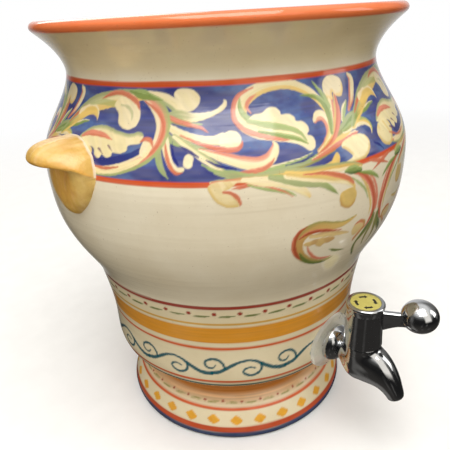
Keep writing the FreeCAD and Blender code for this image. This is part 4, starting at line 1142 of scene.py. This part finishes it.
def index_disc():
    low, high, middle, radius = measured(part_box("index_disc"))
    rings = np.r_[np.linspace(DISC_HOLE, radius - DISC_EDGE, DISC_RINGS),
                  radius - DISC_EDGE * 0.3, radius, radius]
    levels = np.r_[np.full(DISC_RINGS, high[2]), high[2] - DISC_EDGE * 0.3,
                   high[2] - DISC_EDGE, low[2]]
    turn = np.radians(np.linspace(0, 360, DISC_SIDES + 1))
    lean = smoothstep(radius - DISC_EDGE, radius, rings)[:, None]
    ahead = np.stack([np.cos(turn), np.sin(turn)], axis=-1)
    points, normals = np.empty((2, len(rings), len(turn), 3))
    points[..., :2] = middle[:2] + rings[:, None, None] * ahead
    points[..., 2] = levels[:, None]
    normals[..., :2] = lean[..., None] * ahead
    normals[..., 2] = 1 - lean
    points, normals = points[::-1], normals[::-1]
    piece = grid_mesh("index_disc_printed", points, normals, True, printed_disc())
    x, y = np.moveaxis(points[:, :-1, :2] - middle[:2], -1, 0)
    away, angle = np.hypot(x, y), np.degrees(np.arctan2(y, x))
    cover = np.zeros(away.shape)
    for centre in (45, 135, 225, 315):
        from_middle = (angle - centre + 180) % 360 - 180
        from_tip = from_middle + MARK_HALF_TURN
        width = np.where(from_tip < MARK_HEAD, MARK_HALF_WIDTH * HEAD_WIDTH * from_tip / MARK_HEAD,
                         MARK_HALF_WIDTH)
        edge = smoothstep(0.12, -0.12, np.abs(away - MARK_RING * radius) - width)
        cover = np.maximum(cover, (from_tip > 0) * (from_middle < MARK_HALF_TURN) * edge)
    colour_points(piece, tinted(linear("disc_yellow"), "disc_mark", cover))
    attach(piece, "lever")
    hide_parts("index_disc")


index_disc()

# ---------------------------------------------------------------- tap
# (y, z, radius) of the round sections that fill the tap's shoulder down to the spout's mouth
SHOULDER = numbers("""-132.7 78 13.15, -138.5 77.5 12.9, -145 75 12, -151 70.5 10.6,
-156 65 9, -159.5 60 7.5, -161.5 57 6.4""")
SHOULDER_SIDES = 64
VOXEL = 0.45
BLEND_ROUNDS, NORMAL_ROUNDS = 60, 16
# Distances before the pot's axis, or levels, between which smoothing sets in.
BLEND_FRONT, BLEND_UNDER, BLEND_OVER = (116, 121), (90.5, 88.0), (54, 64)
NORMAL_FRONT, NORMAL_UNDER = (110, 116), (91.5, 90.0)
LEAST_BLEND, LEAST_NORMAL_BLEND = 0.06, 0.15
BALL_SIZE = (1.09, 1.09, 0.985)     # the ball is a little flattened
BALL_ROWS, BALL_COLUMNS = 120, 200
BALL_POLE = 0.004            # radians that are left open at its poles


def smoothed(values, edges, weight, rounds):
    """Draws each point's value towards the mean of its neighbours'."""
    size = len(values)
    count = np.bincount(edges.reshape(-1), minlength=size)
    weight = (0.5 * weight / np.maximum(count, 1))[:, None]
    a, b = edges[(weight[edges, 0] > 0).any(axis=1)].T
    for _ in range(rounds):
        step = values[b] - values[a]
        pull = np.stack([np.bincount(a, part, size) - np.bincount(b, part, size)
                         for part in step.T], axis=1)
        values = values + pull * weight
    return values


def tube(sections, sides):
    """Points and faces of a closed tube through round sections in the YZ plane."""
    line = flowing(sections, 6)
    along = unit(np.gradient(line[:, :2], axis=0))
    turn = np.linspace(0, math.tau, sides, endpoint=False)[None]
    radius = line[:, 2:]
    points = np.stack([radius * np.cos(turn),
                       line[:, :1] - radius * np.sin(turn) * along[:, 1:],
                       line[:, 1:2] + radius * np.sin(turn) * along[:, :1]], axis=-1)
    around = [(j, (j + 1) % sides) for j in range(sides)]
    faces = [(i + j, i + k, i + sides + k, i + sides + j)
             for i in range(0, (len(line) - 1) * sides, sides) for j, k in around]
    faces += [tuple(range(sides))[::-1],
              tuple(range((len(line) - 1) * sides, len(line) * sides))]
    return points.reshape(-1, 3), faces


def tap_body():
    """The tap's casting, its barrel swelling smoothly into the spout."""
    cast = nodes["tap_body"].data
    points, faces = tube(SHOULDER, SHOULDER_SIDES)
    first = len(cast.vertices)
    mesh = bpy.data.meshes.new("tap_body_cast")
    mesh.from_pydata(np.vstack([read(cast.vertices, "co", 3), points * MM]).tolist(), [],
                     [tuple(face.vertices) for face in cast.polygons]
                     + [tuple(first + k for k in face) for face in faces])
    piece = linked("tap_body_cast", mesh)
    even = piece.modifiers.new("even", "REMESH")
    even.mode = "VOXEL"
    even.voxel_size = VOXEL * coarse * MM
    shaped = piece.evaluated_get(bpy.context.evaluated_depsgraph_get())
    mesh = bpy.data.meshes.new_from_object(shaped)
    piece.modifiers.clear()
    piece.data = mesh
    points = read(mesh.vertices, "co", 3).astype(float) / MM
    edges = read(mesh.edges, "vertices", 2, np.int32)
    front, level = -points[:, 1], points[:, 2]
    weight = (smoothstep(*BLEND_FRONT, front) * smoothstep(*BLEND_UNDER, level)
              * smoothstep(*BLEND_OVER, level))
    points = smoothed(points, edges, np.maximum(weight, LEAST_BLEND),
                      int(BLEND_ROUNDS / coarse ** 2))
    mesh.vertices.foreach_set("co", (points * MM).astype(np.float32).reshape(-1))
    mesh.update()
    normals = read(mesh.vertex_normals, "vector", 3).astype(float)
    weight = smoothstep(*NORMAL_FRONT, front) * smoothstep(*NORMAL_UNDER, level)
    normals = smoothed(normals, edges, np.maximum(weight, LEAST_NORMAL_BLEND),
                       int(NORMAL_ROUNDS / coarse ** 2) + 1)
    mesh.materials.clear()
    mesh.materials.append(chrome_look)
    mesh.shade_smooth()
    mesh.normals_split_custom_set_from_vertices(unit(normals, NONE).tolist())
    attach(piece, "pot")
    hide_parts("tap_body")


def ball():
    middle, radius = measured(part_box("lever_ball"))[2:]
    tilt = np.linspace(BALL_POLE, math.pi - BALL_POLE, int(BALL_ROWS / coarse))[::-1, None]
    turn = np.linspace(0, math.tau, int(BALL_COLUMNS / coarse) + 1)[None]
    way = np.stack([np.sin(tilt) * np.cos(turn), np.sin(tilt) * np.sin(turn),
                    np.cos(tilt) + 0 * turn], axis=-1)
    size = np.array(BALL_SIZE) * radius
    piece = grid_mesh("lever_ball_cast", middle + way * size, unit(way / size), True, chrome_look)
    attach(piece, "lever")
    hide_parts("lever_ball")


chrome_look = chrome()
tap_body()
ball()

# ---------------------------------------------------------------- finishes of the CAD nodes
FINISHES = {
    "chrome_plate": chrome_look,
    "steel": metal("steel_look", (168, 168, 166), (120, 118, 114), 0.25, 6.0),
    "brass": metal("brass_look", (214, 178, 104), (160, 122, 62), 0.25, 6.0),
    "clear_rubber": soft_clear(),
    "black_rubber": dull_plastic("black_rubber_look", (28, 28, 30), (44, 44, 46), 0.5),
    "white_nylon": dull_plastic("white_nylon_look", (228, 226, 216), (208, 204, 188), 0.4),
}
for thing in nodes.values():
    for socket in thing.material_slots:
        finish = FINISHES.get(socket.material.name.split(".")[0])
        if finish is not None:
            socket.material = finish

# ---------------------------------------------------------------- floor, light, camera
FLOOR_SIZE = 4.0             # metres, like all sizes from here on
FLOOR_FADE = (0.35, 1.3)     # distances from the pot between which the floor fades to white
WHITE = (1, 1, 1)
WINDOW_COLOUR = (1.2, 1.14, 1.05)
WINDOW_AZIMUTH = math.radians(-16.0)
WINDOW_WAY = (math.sin(WINDOW_AZIMUTH), -math.cos(WINDOW_AZIMUTH), 0.0)
WINDOW_SIDE = (math.cos(WINDOW_AZIMUTH), math.sin(WINDOW_AZIMUTH), 0.0)
WINDOW_HALF, WINDOW_BLUR = 0.38, 0.10      # sines of its half width and of its soft edge
WINDOW_SILL, SILL_BLUR = -0.02, 0.26       # the same for the height of its sill
PANES = (1.7, 1.7, 1.1)      # how narrow and tall the glows on the walls are
PANE_GLOW = 0.16
PANE_COLOUR = (1, 0.97, 0.92)
AWAY = (0.7071, 0.7071, 0.0)        # from the camera to the backdrop
BACKDROP_EDGE = (0.70, 0.90)        # cosines from that way between which the backdrop sets in
BACKDROP = 0.7               # share of white in it, as gloss sees it
# (height of the direction from 0, straight down, to 1, straight up; colour)
DAYLIGHT = ((0.0, (0.165, 0.13, 0.075)), (0.45, (0.27, 0.23, 0.15)), (0.6, (0.44, 0.41, 0.35)),
            (1.0, (0.64, 0.63, 0.60)))
ROOM = ((0.0, (0.06, 0.055, 0.05)), (0.40, (0.015, 0.015, 0.015)), (0.62, (0.02, 0.02, 0.02)),
        (0.74, (0.10, 0.10, 0.095)), (0.83, (0.5, 0.49, 0.48)), (0.90, (1.0, 0.99, 0.97)))
LAMP_COLOUR = (1, 0.98, 0.95)


def floor():
    """A pale floor that fades to plain white away from the pot, as seen by the camera."""
    mesh = bpy.data.meshes.new("floor")
    corners = [(x * FLOOR_SIZE, y * FLOOR_SIZE, 0) for x, y in ((-1, -1), (1, -1), (1, 1), (-1, 1))]
    mesh.from_pydata(corners, [], [(0, 1, 2, 3)])
    material, tree, shader = new_material("floor_look")
    grain = ranged(noise_node(tree, 40, 3, 0.5), 0.3, 0.7)
    put(shader, {"Base Color": mixed(grain, (0.84, 0.84, 0.84), (0.87, 0.87, 0.87)),
                 "Roughness": 0.9, "Specular IOR Level": 0.1})
    where = added(tree, "TexCoord").outputs["Object"]
    away = added(tree, "VectorMath", {0: where}, operation="LENGTH").outputs["Value"]
    seen = multiplied(ranged(away, *FLOOR_FADE),
                      added(tree, "LightPath").outputs["Is Camera Ray"])
    faded = mixed_shader(seen, shader.outputs[0], added(tree, "Emission").outputs[0])
    put(tree.nodes["Material Output"], {"Surface": faded})
    mesh.materials.append(material)
    plane = linked("floor", mesh)
    plane.visible_glossy = False
    plane.visible_diffuse = False


def background(tree, colour):
    return added(tree, "Background", {"Color": colour, "Strength": 1.0}).outputs[0]


def ramped(value, stops):
    """A colour ramp through (position, colour) stops."""
    node = added(value.id_data, "ValToRGB", {"Fac": value})
    for _ in stops[2:]:
        node.color_ramp.elements.new(0.5)
    for element, (position, colour) in zip(node.color_ramp.elements, stops):
        element.position = position
        element.color = (*colour, 1)
    return node.outputs["Color"]


def dotted(vector, way):
    return added(vector.id_data, "VectorMath", {0: vector, 1: way},
                 operation="DOT_PRODUCT").outputs["Value"]


def world():
    """Soft light from above, white to the camera; gloss sees a white ceiling over dim walls,
    one window, and a pale backdrop behind the pot."""
    sky = bpy.data.worlds.new("studio")
    bpy.context.scene.world = sky
    sky.use_nodes = True
    tree = sky.node_tree
    tree.nodes.clear()
    where = added(tree, "TexCoord").outputs["Generated"]
    upward = added(tree, "SeparateXYZ", {0: where}).outputs["Z"]
    height = ranged(upward, -1, 1)
    panes = added(tree, "Mapping", {"Scale": PANES, "Vector": where}).outputs["Vector"]
    glow = added(tree, "TexNoise", {"Scale": 1.0, "Detail": 1.0, "Vector": panes}).outputs["Fac"]
    lit = ranged(glow, 0.50, 0.66, 0.0, PANE_GLOW)
    walls = mixed(lit, ramped(height, ROOM), PANE_COLOUR)
    across, ahead = (dotted(where, way) for way in (WINDOW_SIDE, WINDOW_WAY))
    across = added(tree, "Math", {0: across}, operation="ABSOLUTE").outputs[0]
    pane = multiplied(ranged(across, WINDOW_HALF, WINDOW_HALF - WINDOW_BLUR),
                      ranged(upward, WINDOW_SILL, WINDOW_SILL + SILL_BLUR))
    pane = multiplied(pane, ranged(ahead, 0.0, 0.3))
    walls = mixed(pane, walls, WINDOW_COLOUR)
    backdrop = ranged(dotted(where, AWAY), *BACKDROP_EDGE, 0, BACKDROP)
    walls = mixed(backdrop, walls, WHITE)
    path = added(tree, "LightPath")
    shown = background(tree, ramped(height, DAYLIGHT))
    white = background(tree, WHITE)
    for ray, seen in (("Is Glossy Ray", background(tree, walls)),
                      ("Is Transmission Ray", white), ("Is Camera Ray", white)):
        shown = mixed_shader(path.outputs[ray], shown, seen)
    added(tree, "OutputWorld", {"Surface": shown})


def lamp(name, at, toward, size, power, mirrored=True):
    data = bpy.data.lights.new(name, "AREA")
    data.shape = "RECTANGLE"
    data.size, data.size_y = size
    data.energy = power
    data.color = LAMP_COLOUR
    thing = linked(name, data)
    thing.location = Vector(at)
    thing.rotation_euler = (Vector(toward) - Vector(at)).to_track_quat("-Z", "Y").to_euler()
    thing.visible_glossy = mirrored


def camera():
    data = bpy.data.cameras.new("camera")
    data.sensor_width = 36.0
    data.lens = CAMERA_LENS
    data.clip_start = 0.01
    thing = linked("camera", data)
    forward = Vector(CAMERA_FORWARD).normalized()
    level = forward.cross(Vector((0, 0, 1))).normalized()
    upright = level.cross(forward)
    right = math.cos(CAMERA_ROLL) * level + math.sin(CAMERA_ROLL) * upright
    up = math.cos(CAMERA_ROLL) * upright - math.sin(CAMERA_ROLL) * level
    turned = Matrix((right, up, -forward)).transposed().to_4x4()
    thing.matrix_world = Matrix.Translation(Vector(CAMERA_AT) * MM) @ turned
    bpy.context.scene.camera = thing


floor()
world()
lamp("above", (-0.35, -0.45, 1.5), (0, 0, 0.15), (1.1, 1.1), 18.5)
lamp("left", (-1.3, -0.9, 0.55), (0, 0, 0.2), (0.6, 0.8), 8.5, mirrored=False)
lamp("right", (0.9, -1.2, 0.8), (0, 0, 0.15), (0.6, 0.9), 3.5)
lamp("behind", (0.5, 1.3, 1.1), (0, 0, 0.2), (1.0, 0.8), 6)
camera()
bpy.context.scene.view_settings.view_transform = "Standard"
